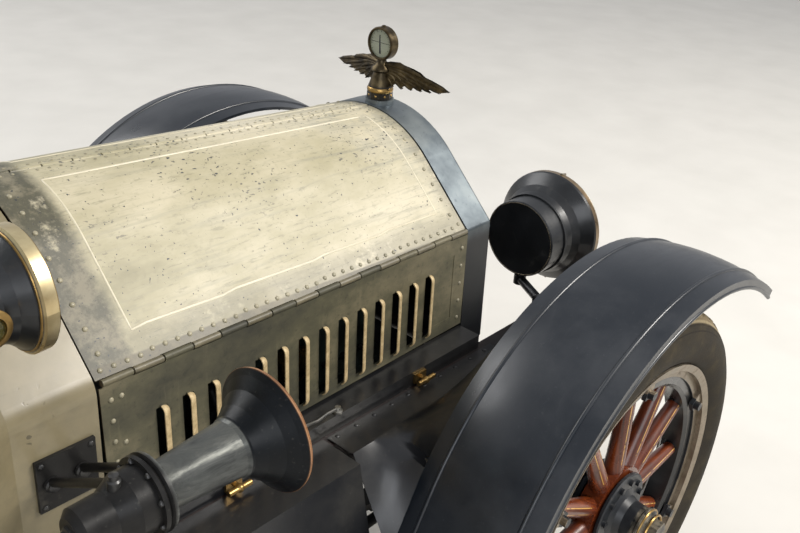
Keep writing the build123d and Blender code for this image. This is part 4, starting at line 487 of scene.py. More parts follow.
def glassy(name, tint):
    k = Look(name)
    smear = k.noise(9, 5, 0.65)
    colour = k.ramp(smear, (0.3, tint), (0.8, "dfe6e2"))
    roughness = k.ramp(smear, (0.35, 0.04), (0.8, 0.14))
    return k.done(colour, roughness, None, Transmission_Weight=1.0, IOR=1.45)


LOOKS = {
    "tyre": tyre_rubber(),
    "wheel_metal": wheel_metal(),
    "wheel_wood": wheel_wood(),
    "hood_cream": hood_cream(),
    "hood_side": hood_side_paint(),
    "shell": shell_grey(),
    "cowl": worn_paint("cowl_paint", "7a7056", "8b8064", "615a47", "3b372c", 0.34, 0.2, 0.3, 0.4),
    "frame": worn_paint("frame_paint", "1d100e", "2b1512", "130a09", "090706", 0.5, dirt=0.5),
    "fender": enamel("fender_enamel", "0b131c", "55575a", 0.34, 0.24),
    "black": enamel("black_enamel", "121316", "5d5a52", 0.36, 0.3),
    "lamp": lamp_paint(),
    "horn": horn_paint(),
    "ornament": ornament_metal(),
    "steering": steering_look(),
    "rivet": worn_paint("rivet_paint", "8d8770", "aaa288", "5d5848", "3b382f", 0.42, dirt=0.5),
    # The border beads' cream is paler than the bonnet's, as a painted highlight along them.
    "bead": worn_paint("bead_highlight_paint", "cfc6ac", "ddd5be", "a39b84", "6d6957", 0.42, dirt=0.4),
    "rubber": enamel("mat_rubber", "1b1a18", "5d564a", 0.7, 0.6, 0.0),
    "silver": metal("reflector_silver", "c9c7c0", "8d887c", 0.14, 0.3),
    "dial": enamel("dial_enamel", "cfc8b0", "8b8468", 0.4, 0.4),
    "jewel": glassy("green_glass", "3f7d5a"),
    "red_glass": glassy("red_glass", "8c1d14"),
    "brass": metal("old_brass", "a98a55", "574628", 0.3, 0.6),
    "nickel": metal("worn_nickel", "b7ad98", "7d6c52", 0.24, 0.55),
    "copper": metal("copper_edge", "a9774f", "5a4636", 0.34, 0.6),
    "steel": metal("bright_steel", "a5a39c", "5c564b", 0.34, 0.5),
    "iron": cast("black_iron", "2b2c2c", "121211"),
    "alloy": cast("cast_alloy", "8b8a82", "4a463c", 0.5, 0.8),
    "enamel_green": cast("engine_enamel", "3d4a44", "1c211e", 0.45, 0.1),
    "rust": cast("hot_iron", "5b3d2c", "2b1d17", 0.8, 0.2),
    "wood": grained("oiled_wood", "7d5230", "3e2412"),
    "oak": grained("floor_wood", "8a6a45", "4d3620", rough=0.6, gloss=0.05),
    "leather": leather("seat_leather", "3a2118", "190e0a"),
    "core": metal("core_metal", "4a4032", "14110d", 0.5, 0.8),
    "dark": enamel("deep_black", "070707", "14130f", 0.6, 0.2, 0.0),
    "glass": glassy("clear_glass", "eef5f2"),
}

WHEEL_PLACES = ("front_left", "front_right", "rear_left", "rear_right")
NODE_LOOK = {
    "tyre": [place + "_tyre" for place in WHEEL_PLACES],
    "wheel_wood": [place + "_spokes" for place in WHEEL_PLACES],
    "wheel_metal": [place + "_rim_and_hub" for place in WHEEL_PLACES],
    "hood_cream": ["hood_top_left", "hood_top_right"],
    "hood_side": ["hood_side_left", "hood_side_right"],
    "shell": ["radiator_shell"],
    "core": ["radiator_core"],
    "ornament": ["radiator_cap"],
    "cowl": ["cowl", "body_tub", "front_door_left", "front_door_right", "rear_door_left", "rear_door_right"],
    "frame": ["chassis_frame", "front_axle", "rear_axle"],
    "fender": ["front_fenders", "rear_fenders"],
    "lamp": ["lamps"],
    "black": ["splash_aprons", "fuel_tank", "leaf_springs", "steering_column", "hood_hinge_rod", "hood_sills",
              "mud_pans"],
    "horn": ["horn"],
    "iron": ["gearbox", "left_knuckle", "right_knuckle", "tie_rod", "drag_link", "drop_arm"],
    "enamel_green": ["engine_block"],
    "rust": ["exhaust"],
    "wood": ["firewall", "running_boards"],
    "steering": ["steering_wheel"],
    "oak": ["floorboards"],
    "leather": ["front_seat_cushions", "rear_seat_cushions"],
    "steel": ["levers_and_pedals"],
    "brass": ["windshield_frame", "hood_catches"],
    "glass": ["glass"],
}
for look, names in NODE_LOOK.items():
    for name in names:
        NODES[name].data.materials.clear()
        NODES[name].data.materials.append(LOOKS[look])


# Building
SIDES = (("left", 1), ("right", -1))
UP, DOWN, AHEAD, BACK = (0, 0, 1), (0, 0, -1), (1, 0, 0), (-1, 0, 0)


def spread(first, last, count):
    return [first + (last - first) * k / (count - 1) for k in range(count)]


def turns(count):
    """Angles once round."""
    return [2 * math.pi * k / count for k in range(count)]


def circle(x, y, z, radius, count):
    """Points round a line that runs along the car."""
    return [(x, y + radius * math.cos(t), z + radius * math.sin(t)) for t in turns(count)]


def unit_across(direction):
    """Two directions square to one another and to the one given."""
    direction = Vector(direction).normalized()
    spare = Vector(UP) if abs(direction.z) < 0.9 else Vector(AHEAD)
    first = direction.cross(spare).normalized()
    return first, direction.cross(first)


class Kit:
    """Gathers one piece's mesh, in millimetres from the ground under the front axle."""

    def __init__(self):
        self.points, self.faces = [], []

    def rows(self, rows, around=False, caps=False):
        """Skin over rows of points; around closes each row on itself."""
        first, count = len(self.points), len(rows[0])
        for row in rows:
            self.points.extend(tuple(p) for p in row)
        for i in range(len(rows) - 1):
            a, b = first + i * count, first + (i + 1) * count
            for j in range(count if around else count - 1):
                k = (j + 1) % count
                self.faces.append((a + j, a + k, b + k, b + j))
        if caps:
            last = first + (len(rows) - 1) * count
            self.faces.append(tuple(range(first + count - 1, first - 1, -1)))
            self.faces.append(tuple(range(last, last + count)))
        return self

    def tube(self, points, radius, sides=8, closed=False):
        """Round bar along points, of one radius or of one for each point."""
        points = [Vector(p) for p in points]
        count = len(points)
        radii = radius if isinstance(radius, (list, tuple)) else [radius] * count
        rows, across = [], None
        for k, point in enumerate(points):
            before = points[k - 1] if k or closed else point
            after = points[(k + 1) % count] if k + 1 < count or closed else point
            run = (after - before).normalized()
            across = unit_across(run)[0] if across is None else (across - run * across.dot(run)).normalized()
            other = run.cross(across)
            ways = [across * math.cos(t) + other * math.sin(t) for t in turns(sides)]
            rows.append([point + way * radii[k] for way in ways])
        if closed:
            rows.append(rows[0])
        return self.rows(rows, around=True, caps=not closed)

    def lathe(self, place, axis, profile, sides=24):
        """Turned shape about an axis through place: the profile gives distance along it, and radius."""
        place, axis = Vector(place), Vector(axis).normalized()
        a, b = unit_across(axis)
        ways = [a * math.cos(t) + b * math.sin(t) for t in turns(sides)]
        rows = [[place + axis * run + way * max(radius, 0.01) for way in ways] for run, radius in profile]
        return self.rows(rows, around=True, caps=True)

    def dome(self, place, normal, radius, height, sides=8):
        """Rivet head standing on a surface."""
        profile = [(height * math.sin(t), radius * math.cos(t)) for t in (0.0, 0.45, 0.85, 1.25)]
        return self.lathe(place, normal, [(-0.6, radius)] + profile, sides)

    def dome_on(self, skin, start, direction, radius, height):
        """Rivet head where a line first meets a skin."""
        place, normal = skin.hit(start, direction)
        if place is not None:
            self.dome(place, normal, radius, height)

    def block(self, low, high):
        (x0, y0, z0), (x1, y1, z1) = low, high
        rows = [[(x0, y0, z), (x1, y0, z), (x1, y1, z), (x0, y1, z)] for z in (z0, z1)]
        return self.rows(rows, around=True, caps=True)

    def make(self, name, look, body="car", bevel=0.0, angle=38):
        mesh = bpy.data.meshes.new(name)
        mesh.from_pydata([at(*p) for p in self.points], [], self.faces)
        work = bmesh.new()
        work.from_mesh(mesh)
        bmesh.ops.remove_doubles(work, verts=work.verts, dist=1e-6)
        bmesh.ops.recalc_face_normals(work, faces=work.faces)
        work.to_mesh(mesh)
        work.free()
        mesh.shade_smooth()
        mesh.set_sharp_from_angle(angle=math.radians(angle))
        mesh.materials.append(LOOKS[look])
        piece = bpy.data.objects.new(name, mesh)
        bpy.context.scene.collection.objects.link(piece)
        if bevel:
            edge = piece.modifiers.new("edge", "BEVEL")
            edge.width, edge.segments, edge.limit_method = bevel / 1000, 2, "ANGLE"
        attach(piece, body)


class Skin:
    """Ray casts on a CAD node, in the same millimetres."""

    def __init__(self, name):
        mesh = NODES[name].data
        points = [((v.co.x - AXLE_X) * 1000, v.co.y * 1000, v.co.z * 1000) for v in mesh.vertices]
        self.tree = BVHTree.FromPolygons(points, [tuple(f.vertices) for f in mesh.polygons])

    def hit(self, start, direction):
        direction = Vector(direction)
        place, normal, _, _ = self.tree.ray_cast(Vector(start), direction)
        if place is None:
            return None, None
        return place, -normal if normal.dot(direction) > 0 else normal


# Bonnet
HOOD_FRONT, HOOD_REAR = (-57.0, 309.0), (-953.0, 323.0)     # x and half width at each end
TOP_RIVET_XS = (-83.0, -929.0)
BORDER_XS = (-117.0, -862.0)
BORDER_HIGH, BORDER_LOW = 40.0, -50.0     # run down from the centre hinge, and up from the foot
SIDE_RIVETS = ((-78, 800, 968, 5), (-934, 800, 990, 6), (-916, 820, 990, 3))     # x, lowest, highest, count
HOOK_PLACE = (-560.0, 368.0, 779.0)
HOOK_PATH = (
    (70, 0, 1), (40, 3, 5), (10, 8, 6), (-20, 10, 12), (-42, 9, 26), (-54, 8, 22), (-56, 8, 10), (-48, 8, 4),
)
HOOK_FOOT = [(0, 10), (4, 10), (5, 7), (12, 6), (13, 0)]


def hood_half(x):
    share = (HOOD_FRONT[0] - x) / (HOOD_FRONT[0] - HOOD_REAR[0])
    return HOOD_FRONT[1] + (HOOD_REAR[1] - HOOD_FRONT[1]) * share


def hood_tops():
    """Rivets round each top panel, and its raised border."""
    for side, s in SIDES:
        skin = Skin(f"hood_top_{side}")

        def across(x):
            """Points on the panel from the centre hinge down to the corner, with the length run so far."""
            found, length, last = [], 0.0, None
            for y in np.arange(9.0, hood_half(x) - 6.5, 3.0):
                place, normal = skin.hit((x, s * y, 1600), DOWN)
                if place is None:
                    continue
                length += (place - last).length if last is not None else 0.0
                last = place
                found.append((length, place, normal))
            return found

        def on(x, length):
            """Place and normal so far down the panel, or from its foot where length is negative."""
            line = across(x)
            wanted = length if length >= 0 else line[-1][0] + length
            k = min(range(len(line)), key=lambda j: abs(line[j][0] - wanted))
            return line[k][1], line[k][2]

        rivets = Kit()
        for x in TOP_RIVET_XS:
            total = across(x)[-1][0]
            for length in spread(22, total - 34, 9):
                rivets.dome(*on(x, length), 4.6, 3.0)
        for x in spread(-74, -938, 38):
            rivets.dome(*on(x, -7.0), 4.4, 2.8)
        for x in spread(-78, -934, 42):
            rivets.dome(*on(x, 7.0), 3.0, 1.8, 6)
        rivets.make(f"hood_rivets_{side}", "rivet", f"hood_top_{side}")

        x0, x1 = BORDER_XS
        loop = [on(x0, length) for length in spread(BORDER_HIGH, across(x0)[-1][0] + BORDER_LOW, 16)]
        loop += [on(x, BORDER_LOW) for x in spread(x0, x1, 26)[1:]]
        loop += [on(x1, length) for length in spread(across(x1)[-1][0] + BORDER_LOW, BORDER_HIGH, 16)[1:]]
        loop += [on(x, BORDER_HIGH) for x in spread(x1, x0, 26)[1:-1]]
        bead = Kit().tube([place - normal * 1.5 for place, normal in loop], 2.7, 8, closed=True)
        bead.make(f"hood_border_{side}", "bead", f"hood_top_{side}", angle=70)


def hood_sides():
    """Rivets at the ends of each side panel, and a hook on the ledge to hold it down."""
    hook_x, hook_y, hook_z = HOOK_PLACE
    for side, s in SIDES:
        skin = Skin(f"hood_side_{side}")
        rivets = Kit()
        for x, low, high, count in SIDE_RIVETS:
            for z in spread(low, high, count):
                rivets.dome_on(skin, (x, s * 600, z), (0, -s, 0), 4.6, 3.0)
        rivets.make(f"hood_side_rivets_{side}", "rivet", f"hood_side_{side}")
        hook = Kit().tube([(hook_x + dx, s * (hook_y + dy), hook_z + dz) for dx, dy, dz in HOOK_PATH], 3.0, 8)
        hook.lathe((hook_x + 70, s * hook_y, 772), UP, HOOK_FOOT, 12)
        hook.make(f"hood_hook_{side}", "steel")


def radiator_details():
    """The core's upright wires, rivets on the shell's sides and the collar for a starting handle below."""
    core, shell = Skin("radiator_core"), Skin("radiator_shell")
    wires, rivets = Kit(), Kit()
    for y in spread(-262, 262, 44):
        top, _ = core.hit((8, y, 1400), DOWN)
        if top is not None:
            wires.tube([(5.5, y, 772), (5.5, y, min(top.z - 6, 1040 + 66 * math.cos(y / 262)))], 1.1, 5)
    wires.make("radiator_wires", "core")
    for z in (800, 900, 985):
        for s in (-1, 1):
            rivets.dome_on(shell, (200, s * 302, z), BACK, 5, 3.2)
    rivets.make("shell_rivets", "shell")
    collar = Kit().lathe((30, 0, 700), AHEAD, [(-6, 24), (10, 24), (12, 20), (12, 13), (0, 13)])
    collar.make("crank_collar", "iron")


# Mascot
# Each feather's root, tip and width, along the wing and up; long ones first, then those laid over them.
FEATHERS = (
    ((20, 8), (171, -20), 10), ((20, 3), (150, -27), 10), ((18, -2), (127, -30), 10),
    ((17, -6), (104, -32), 9),
    ((14, -9), (80, -34), 9), ((10, -12), (56, -36), 9), ((5, -14), (32, -36), 9),
    ((10, 12), (108, 0), 11), ((10, 7), (92, -9), 10), ((9, 3), (74, -14), 10), ((8, -2), (56, -18), 10),
    ((5, -6), (40, -21), 9),
)
LONG_FEATHERS = 7
FEATHER_SECTION = ((-1, -1.6), (-0.5, 0.3), (0, 1.2), (0.5, 0.3), (1, -1.6))     # share of half width, height
WING_EDGE = ((-4, 1), (10, 10), (22, 15), (45, 18), (75, 9), (110, -6), (150, -15), (170, -19))
GAUGE_X, GAUGE_Z = -22.0, 1330.0
WING_ROOT_Z = GAUGE_Z - 56


def feather(place, root, tip, width, lift):
    """Rows across one feather; place sets a point given along the wing, up, and out of its face."""
    (u0, v0), (u1, v1) = root, tip
    run = Vector((u1 - u0, v1 - v0, 0))
    aside = Vector((-run.y, run.x, 0)).normalized()
    rows = []
    for t in (0.0, 0.2, 0.45, 0.7, 0.88, 0.97, 1.0):
        narrowed = 1 if t < 0.9 else (1 - t) * 8 + 0.12
        half = width / 2 * (0.75 + 0.25 * math.sin(math.pi * t)) * narrowed
        bend = 5.0 * math.sin(math.pi * t)
        middle = Vector((u0, v0, 0)) + run * t + aside * bend
        spots = [(middle + aside * a * half, high) for a, high in FEATHER_SECTION]
        rows.append([place(spot.x, spot.y, lift + high) for spot, high in spots])
    return rows


def mascot_wings():
    for side, s in SIDES:
        out = Vector((0.22, s, 0)).normalized()
        face = out.cross(Vector(UP)).normalized()

        def place(u, v, w):
            return Vector((GAUGE_X, 0, WING_ROOT_Z)) + out * u + Vector((0, 0, v)) + face * w

        wing = Kit()
        for front in (-1, 1):
            for order, (root, tip, width) in enumerate(FEATHERS):
                lift = 3.4 + (1.6 if order >= LONG_FEATHERS else 0.0) + (order % 2) * 0.5
                wing.rows(feather(lambda u, v, w: place(u, v, front * w), root, tip, width, lift))
        wing.tube([place(u, v - 1, 0) for u, v in WING_EDGE], [5, 5.5, 5.5, 4.8, 3.8, 3.0, 2.2, 1.2], 10)
        wing.make(f"mascot_wing_{side}", "ornament", angle=60)


def mascot_dial():
    """A glazed dial on each face of the ring, and the bands of its neck."""
    x0, z0 = GAUGE_X, GAUGE_Z
    ring, dial, marks, pane, band = Kit(), Kit(), Kit(), Kit(), Kit()
    for w in (-9.5, 9.5):
        ring.tube(circle(x0 + w, 0, z0, 33.2, 48), 2.9, 8, closed=True)
    neck = [(-8, 20), (-4, 24), (2, 22), (8, 14), (14, 11), (22, 9)]
    ring.lathe((x0, 0, WING_ROOT_Z + 2), UP, neck, 20)
    ring.lathe((x0, 0, z0 + 35.5), UP, [(-1, 6), (1, 6), (3, 4), (4, 0)], 12)
    for w in (-1, 1):
        dial.lathe((x0 + w * 6, 0, z0), (w, 0, 0), [(0, 30.6), (0.5, 30.6), (0.6, 0)], 40)
        for t in (math.radians(-120 + 24 * k) for k in range(11)):
            mark = [(x0 + w * 6.9, radius * math.sin(t), z0 + radius * math.cos(t)) for radius in (24, 28)]
            marks.tube(mark, 0.5, 4)
        marks.tube([(x0 + w * 7.2, 0, z0 - 22), (x0 + w * 7.2, 3, z0 + 18)], [2.6, 1.2], 6)
        marks.tube([(x0 + w * 7, -27, z0 + 2), (x0 + w * 7, 27, z0 + 2)], 0.6, 4)
        domed = [(0, 30.8), (1.2, 29), (2.2, 20), (2.6, 8), (2.7, 0)]
        pane.lathe((x0 + w * 8.2, 0, z0), (w, 0, 0), domed, 36)
    band.lathe((x0, 0, 1226), UP, [(-3, 27.5), (0, 29.5), (5, 29.5), (8, 27.2)], 32)
    for t in (math.radians(22.5 + 45 * k) for k in range(8)):
        out = Vector((math.cos(t), math.sin(t), 0))
        band.dome(Vector((x0, 0, 1216)) + out * 26.6, out, 3.2, 2.0)
    ring.make("dial_ring", "ornament")
    dial.make("dial_face", "dial")
    marks.make("dial_marks", "dark")
    pane.make("dial_glass", "glass")
    band.make("cap_band", "brass")


# Lamps and horn
HEADLAMP, SIDE_LAMP = (263.0, 290.0, 901.0), (-1143.0, 432.0, 1283.0)
TAIL_LAMP = (-3960, -330, 900)
HORN = (-914.0, -655.0, 1110.0)
HORN_LEG_XS = (-92, -140)
HEADLAMP_BOWL = [(44, 126), (30, 117), (4, 87), (-20, 75), (-46, 52), (-62, 27), (-65, 6)]
SIDE_LAMP_BACK = [(-2, 14), (2, 14), (4, 10), (10, 8), (16, 10), (20, 7), (21, 0)]


def headlamps():
    """Reflectors, burners, catches and bright edges."""
    bowls, trims, burners = Kit(), Kit(), Kit()
    for _, s in SIDES:
        x, y, z = HEADLAMP[0], s * HEADLAMP[1], HEADLAMP[2]
        bowls.lathe((x, y, z), AHEAD, HEADLAMP_BOWL, 40)
        burners.tube([(x - 8, y, z - 84), (x - 8, y, z - 18)], 5, 10)
        burners.lathe((x - 8, y, z - 22), UP, [(0, 9), (3, 9), (5, 6), (9, 6)], 12)
        for d in (-1, 1):
            tip = [(x - 8, y, z - 14), (x - 8, y + d * 11, z - 4), (x - 8, y + d * 9, z + 6)]
            burners.tube(tip, [4, 3.4, 2.6], 8)
        trims.tube(circle(x + 50, y, z, 133.5, 60), 2.4, 8, closed=True)
        trims.tube(circle(x - 84, y, z, 89, 48), 1.6, 6, closed=True)
        for t in (math.pi / 2 - 0.1, 0.1 - math.pi / 2):
            u = Vector((0, math.cos(t) * s, math.sin(t)))
            spot = Vector((x, y, z)) + u * 131
            catch = [spot + Vector((dx, 0, 0)) + u * rise for dx, rise in ((52, 0), (58, 3), (40, 7))]
            trims.tube(catch, 3.2, 8)
        inner = Vector((x, y - s * 118, z))
        hub = [(-10, 9), (4, 9), (6, 6), (12, 6), (14, 3)]
        trims.lathe(inner + Vector((26, 0, 0)), (0, -s, 0), hub, 12)
        handle = ((10, 0, 14), (18, -s * 12, 10), (34, -s * 16, -4))
        trims.tube([inner + Vector(p) for p in handle], 2.6, 8)
    bowls.make("headlamp_reflectors", "silver", angle=70)
    burners.make("headlamp_burners", "brass")
    trims.make("headlamp_trims", "nickel")


def side_and_tail_lamps():
    """Side lamps' jewels, rims, reflectors and burners, and the tail lamp's lens in its ring."""
    jewels, rings, bowls = Kit(), Kit(), Kit()
    for _, s in SIDES:
        x, y, z = SIDE_LAMP[0], s * SIDE_LAMP[1], SIDE_LAMP[2]
        spot = (x - 24, y + s * 65, z)
        rings.lathe(spot, (0, s, 0), [(-3, 21), (0, 24), (4, 24), (6, 21), (6.5, 16), (4, 15)], 28)
        jewels.lathe(spot, (0, s, 0), [(1, 16.5), (6, 15), (10, 10), (12, 4), (12.2, 0)], 28)
        rings.lathe((x - 58, y, z), BACK, SIDE_LAMP_BACK, 18)
        rings.tube(circle(x + 50, y, z, 74, 48), 2.6, 8, closed=True)
        rings.tube(circle(x + 31, y, z, 73, 48), 2.0, 8, closed=True)
        rings.lathe((x - 24, y, z + 50), UP, [(0, 17), (6, 17), (10, 13), (13, 6), (15, 0)], 20)
        bowls.lathe((x, y, z), AHEAD, [(42, 68), (20, 51), (0, 43), (-30, 30), (-44, 12)], 32)
        bowls.tube([(x - 6, y, z - 42), (x - 6, y, z - 8)], 4, 8)
        bowls.lathe((x - 6, y, z - 10), UP, [(0, 7), (4, 7), (6, 4), (12, 3)], 10)
    jewels.make("side_lamp_jewels", "jewel", angle=60)
    rings.make("side_lamp_rings", "brass")
    bowls.make("side_lamp_bowls", "silver", angle=70)
    lens = Kit().lathe(TAIL_LAMP, BACK, [(46, 29), (54, 28), (60, 24), (64, 14), (65, 0)], 28)
    lens.make("tail_lens", "red_glass", angle=60)
    ring = Kit().lathe(TAIL_LAMP, BACK, [(40, 39), (52, 39), (60, 33), (60, 29), (50, 30)], 28)
    ring.make("tail_lamp_ring", "brass")


def horn_details():
    """Horn's screws, terminal, nuts on its legs, lip and grille."""
    x, y, z = HORN
    kit, grille = Kit(), Kit()
    for t in (2 * math.pi * (k + 0.5) / 8 for k in range(8)):
        spot_y, spot_z = y + 43 * math.cos(t), z + 43 * math.sin(t)
        kit.dome((x - 182, spot_y, spot_z), BACK, 4.2, 4.0, 6)
        kit.dome((x - 166, spot_y, spot_z), AHEAD, 4.0, 2.6)
    kit.lathe((x - 214, y, z + 40), UP, [(-10, 8), (2, 8), (4, 6), (10, 6), (11, 3), (13, 0)], 12)
    kit.lathe((x - 270, y, z), BACK, [(-1, 12), (3, 12), (5, 8), (9, 8), (10, 0)], 6)
    for dx in HORN_LEG_XS:
        kit.lathe((x + dx, -359, 918), (0, -1, 0), [(-3, 12), (2, 12), (4, 9), (7, 9), (8, 7)], 16)
    for dx, foot_z in ((-152, 880), (-74, 880), (-152, 954), (-74, 954)):
        kit.dome((x + dx, -354.5, foot_z), (0, -1, 0), 5, 3.5, 6)
    kit.make("horn_fittings", "black")
    Kit().tube(circle(x - 1.5, y, z, 81, 60), 2.6, 8, closed=True).make("horn_lip", "copper")
    for turn in (0, math.pi / 2):
        along = Vector((0, math.cos(turn), math.sin(turn)))
        aside = Vector((0, -math.sin(turn), math.cos(turn)))
        for off in (k * 7.5 for k in range(-3, 4)):
            half = math.sqrt(27.0 ** 2 - off ** 2)
            middle = Vector((x - 58, y, z)) + aside * off
            grille.tube([middle - along * half, middle + along * half], 0.9, 5)
    grille.make("horn_grille", "nickel")


# Wheels
WHEELS = [(f"{end}_{side}", end, s) for end in ("front", "rear") for side, s in SIDES]
TREAD_BLOCKS = 64
TREAD_OFFS = (13, 20, 28, 35)     # a block's rows, out from the middle plane
TREAD_RISE, TREAD_TOP = 3.4, 469.6
SEAM_RADIUS = 447.0
TREAD_CENTRE, TREAD_ARC = 403, 67.0
VALVE = [(-2, 9), (3, 9), (4, 5), (20, 5), (21, 6.5), (33, 6.5), (36, 3)]


def tread_radius(off):
    """The tyre's own radius so far from its middle plane, over the tread."""
    return TREAD_CENTRE + math.sqrt(TREAD_ARC ** 2 - off ** 2)


def tread_block(place, half, turn, pitch):
    """Rows over one block, from its front face back, with its foot sunk into the tyre."""
    first, last = TREAD_OFFS[0], TREAD_OFFS[-1]
    rows = []
    for step, drop in ((-0.3, 3.0), (-0.24, 0.0), (0.24, 0.0), (0.3, 3.0)):
        angle = turn + step * pitch
        row = [place(tread_radius(first) - 2, half * first, angle)]
        for off in TREAD_OFFS:
            top = min(TREAD_TOP, tread_radius(off) + TREAD_RISE)
            row.append(place(top - drop - (2.5 if off == last else 0), half * off, angle))
        rows.append(row + [place(tread_radius(last) - 2, half * (last + 1.0), angle)])
    return rows


def wheel_details():
    """Tread blocks, a seam on each wall, a valve with its cap, and the bright bands on the hub's nose."""
    pitch = 2 * math.pi / TREAD_BLOCKS
    for name, end, s in WHEELS:
        x, y = (0.0 if end == "front" else (REAR_X - AXLE_X) * 1000), s * WHEEL_Y * 1000
        tread, bright = Kit(), Kit()

        def place(radius, off, turn):
            return x + radius * math.cos(turn), y + off * s, WHEEL_Z * 1000 + radius * math.sin(turn)

        for k in range(TREAD_BLOCKS):
            for half, start in ((1, 0.5), (-1, 0.0)):
                tread.rows(tread_block(place, half, pitch * (k + start), pitch))
        wall, _ = Skin(f"{name}_tyre").hit((x + SEAM_RADIUS, y + s * 200, WHEEL_Z * 1000), (0, -s, 0))
        off = abs(wall.y - y) - 0.5
        for seam_off in (-off, off):
            tread.tube([place(SEAM_RADIUS, seam_off, t) for t in turns(120)], 1.3, 6, closed=True)
        tread.make(f"{name}_tread", "tyre", f"{name}_wheel")
        inner, outer = (Vector(place(radius, 0, math.radians(75))) for radius in (296, 262))
        bright.lathe(inner, outer - inner, VALVE, 10)
        for radius, band_off in ((50.6, 100), (44.6, 113)):
            bright.tube([place(radius - 5.5, band_off, t) for t in turns(40)], 2.6, 8, closed=True)
        bright.make(f"{name}_valve_and_bands", "brass", f"{name}_wheel")


# Under the wings
SHEET_XS = (-548, -30)
LEDGE_YS, LEDGE_Z = (384, 444), (741.6, 742.2)
TURN_UP_Y, WING_EDGE_Y, TURN_UP_Z = 452, 559, 745
SHEET = 2.0
PAN_LINE = ((-152, 628), (-92, 628), (-70, 636), (-52, 652), (-48, 668))     # x and height


def splash_sheets():
    """Sheets from the rails to the front wings' inner edges, and the pan ahead of the engine."""
    wing = Skin("front_fenders")
    for side, s in SIDES:
        rows = []
        for x in spread(*SHEET_XS, 32):
            under, _ = wing.hit((x, s * WING_EDGE_Y, 560), UP)
            if under is None:
                continue
            row = [(x, s * y, z) for y, z in zip(LEDGE_YS, LEDGE_Z)] + [(x, s * TURN_UP_Y, TURN_UP_Z)]
            rise = under.z + 1.5 - TURN_UP_Z
            for t in (0.25, 0.5, 0.75, 1.0):
                row.append((x, s * (TURN_UP_Y + (WING_EDGE_Y - TURN_UP_Y) * t), TURN_UP_Z + rise * t ** 0.94))
            rows.append(row)
        sheet, rivets = Kit().rows(rows), Kit()
        sheet.rows([[(x, y, z - SHEET) for x, y, z in row] for row in rows])
        sheet.make(f"inner_wing_{side}", "black", angle=50)
        for row in rows[1::3]:
            rivets.dome((row[0][0], s * 394, 741.8), UP, 4.5, 2.8)
        rivets.make(f"inner_wing_rivets_{side}", "black")
    pan = Kit()
    for drop in (0.0, SHEET):
        pan.rows([[(x, y, z - drop) for y in spread(-356, 356, 12)] for x, z in PAN_LINE])
    pan.make("front_pan", "black")


# Body
DOORS = {"front": (-1545.0, -1995.0), "rear": (-2440.0, -2890.0)}     # front and rear edge
MOULDING_ZS = (838, 1172)
MOULDING_RUNS = ((-1460, -1533, 6), (-2008, -2427, 24), (-2903, -3640, 40))
HANDLE_Z = 1120
HANDLE_PLATE = [(-1, 17), (2, 17), (4, 13), (5, 6), (14, 6)]


def on_body(skin, s, points):
    """Places on the body's side for points given as x and height, sunk a little into it."""
    found = [skin.hit((x, s * 900, z), (0, -s, 0)) for x, z in points]
    return [place - normal * 0.6 for place, normal in found if place is not None]


def door_outline(front, rear):
    """Moulding's path inside a door's edges, as x and height, with small notches at the corners."""
    x0, x1, (z0, z1) = front - 40, rear + 34, MOULDING_ZS
    path = [(x, z1) for x in spread(x0 - 12, x1 + 12, 14)] + [(x1 + 4, z1 - 6)]
    path += [(x1, z) for z in spread(z1 - 14, z0 + 14, 10)] + [(x1 + 4, z0 + 6)]
    path += [(x, z0) for x in spread(x1 + 12, x0 - 12, 14)] + [(x0 - 4, z0 + 6)]
    return path + [(x0, z) for z in spread(z0 + 14, z1 - 14, 10)] + [(x0 - 4, z1 - 6)]


def body_details():
    """Mouldings along the body and round the doors, and the doors' handles."""
    tub = Skin("body_tub")
    for side, s in SIDES:
        belt = Kit()
        for z in reversed(MOULDING_ZS):
            for first, last, count in MOULDING_RUNS:
                line = on_body(tub, s, [(x, z) for x in spread(first, last, count)])
                if len(line) > 2:
                    belt.tube(line, 3.6, 8)
        belt.make(f"belt_moulding_{side}", "cowl")
        for end, (front, rear) in DOORS.items():
            name = f"{end}_door_{side}"
            door = Skin(name)
            bead = Kit().tube(on_body(door, s, door_outline(front, rear)), 3.4, 8, closed=True)
            bead.make(f"{name}_moulding", "cowl", name)
            plate, _ = door.hit((rear + 70, s * 900, HANDLE_Z), (0, -s, 0))
            x, y = rear + 62, plate.y
            handle = Kit().lathe((x, y, HANDLE_Z), (0, s, 0), HANDLE_PLATE, 20)
            lever = ((0, 12, 0), (16, 15, 0), (56, 14, -3), (70, 13, -6))
            handle.tube([(x + dx, y + s * dy, HANDLE_Z + dz) for dx, dy, dz in lever], [7, 6.4, 5.2, 4.6], 12)
            handle.make(f"{name}_handle", "brass", name)


# Dash
DASH_X = -1438.0
DIALS = ((-110, 1176, 36), (0, 1180, 46), (112, 1176, 36), (232, 1168, 28))     # y, z, radius
SWITCH_Y, SWITCH_Z = -263, 1172
KNOB_YS = (320, 362, 404)
SCREEN_ZS = (1310, 1494, 1668)


def dial_on_dash(rims, faces, hands, y, z, radius):
    x = DASH_X
    rim = [(-2, radius + 3), (9, radius + 3), (12, radius), (12, radius - 4), (8, radius - 5)]
    rims.lathe((x, y, z), BACK, rim, 36)
    faces.lathe((x, y, z), BACK, [(0, radius - 3), (7, radius - 4), (7.3, 0)], 32)
    for t in (math.radians(-120 + 30 * k) for k in range(9)):
        mark = [(x - 7.9, y + r * math.sin(t), z + r * math.cos(t)) for r in (radius - 8, radius - 12)]
        hands.tube(mark, 0.7, 4)
    hands.tube([(x - 8.4, y - 4, z - 5), (x - 8.4, y + radius * 0.4, z + radius * 0.45)], [1.8, 0.7], 5)
    hands.lathe((x - 7, y, z), BACK, [(0, 3.4), (2, 3), (2.6, 0)], 12)


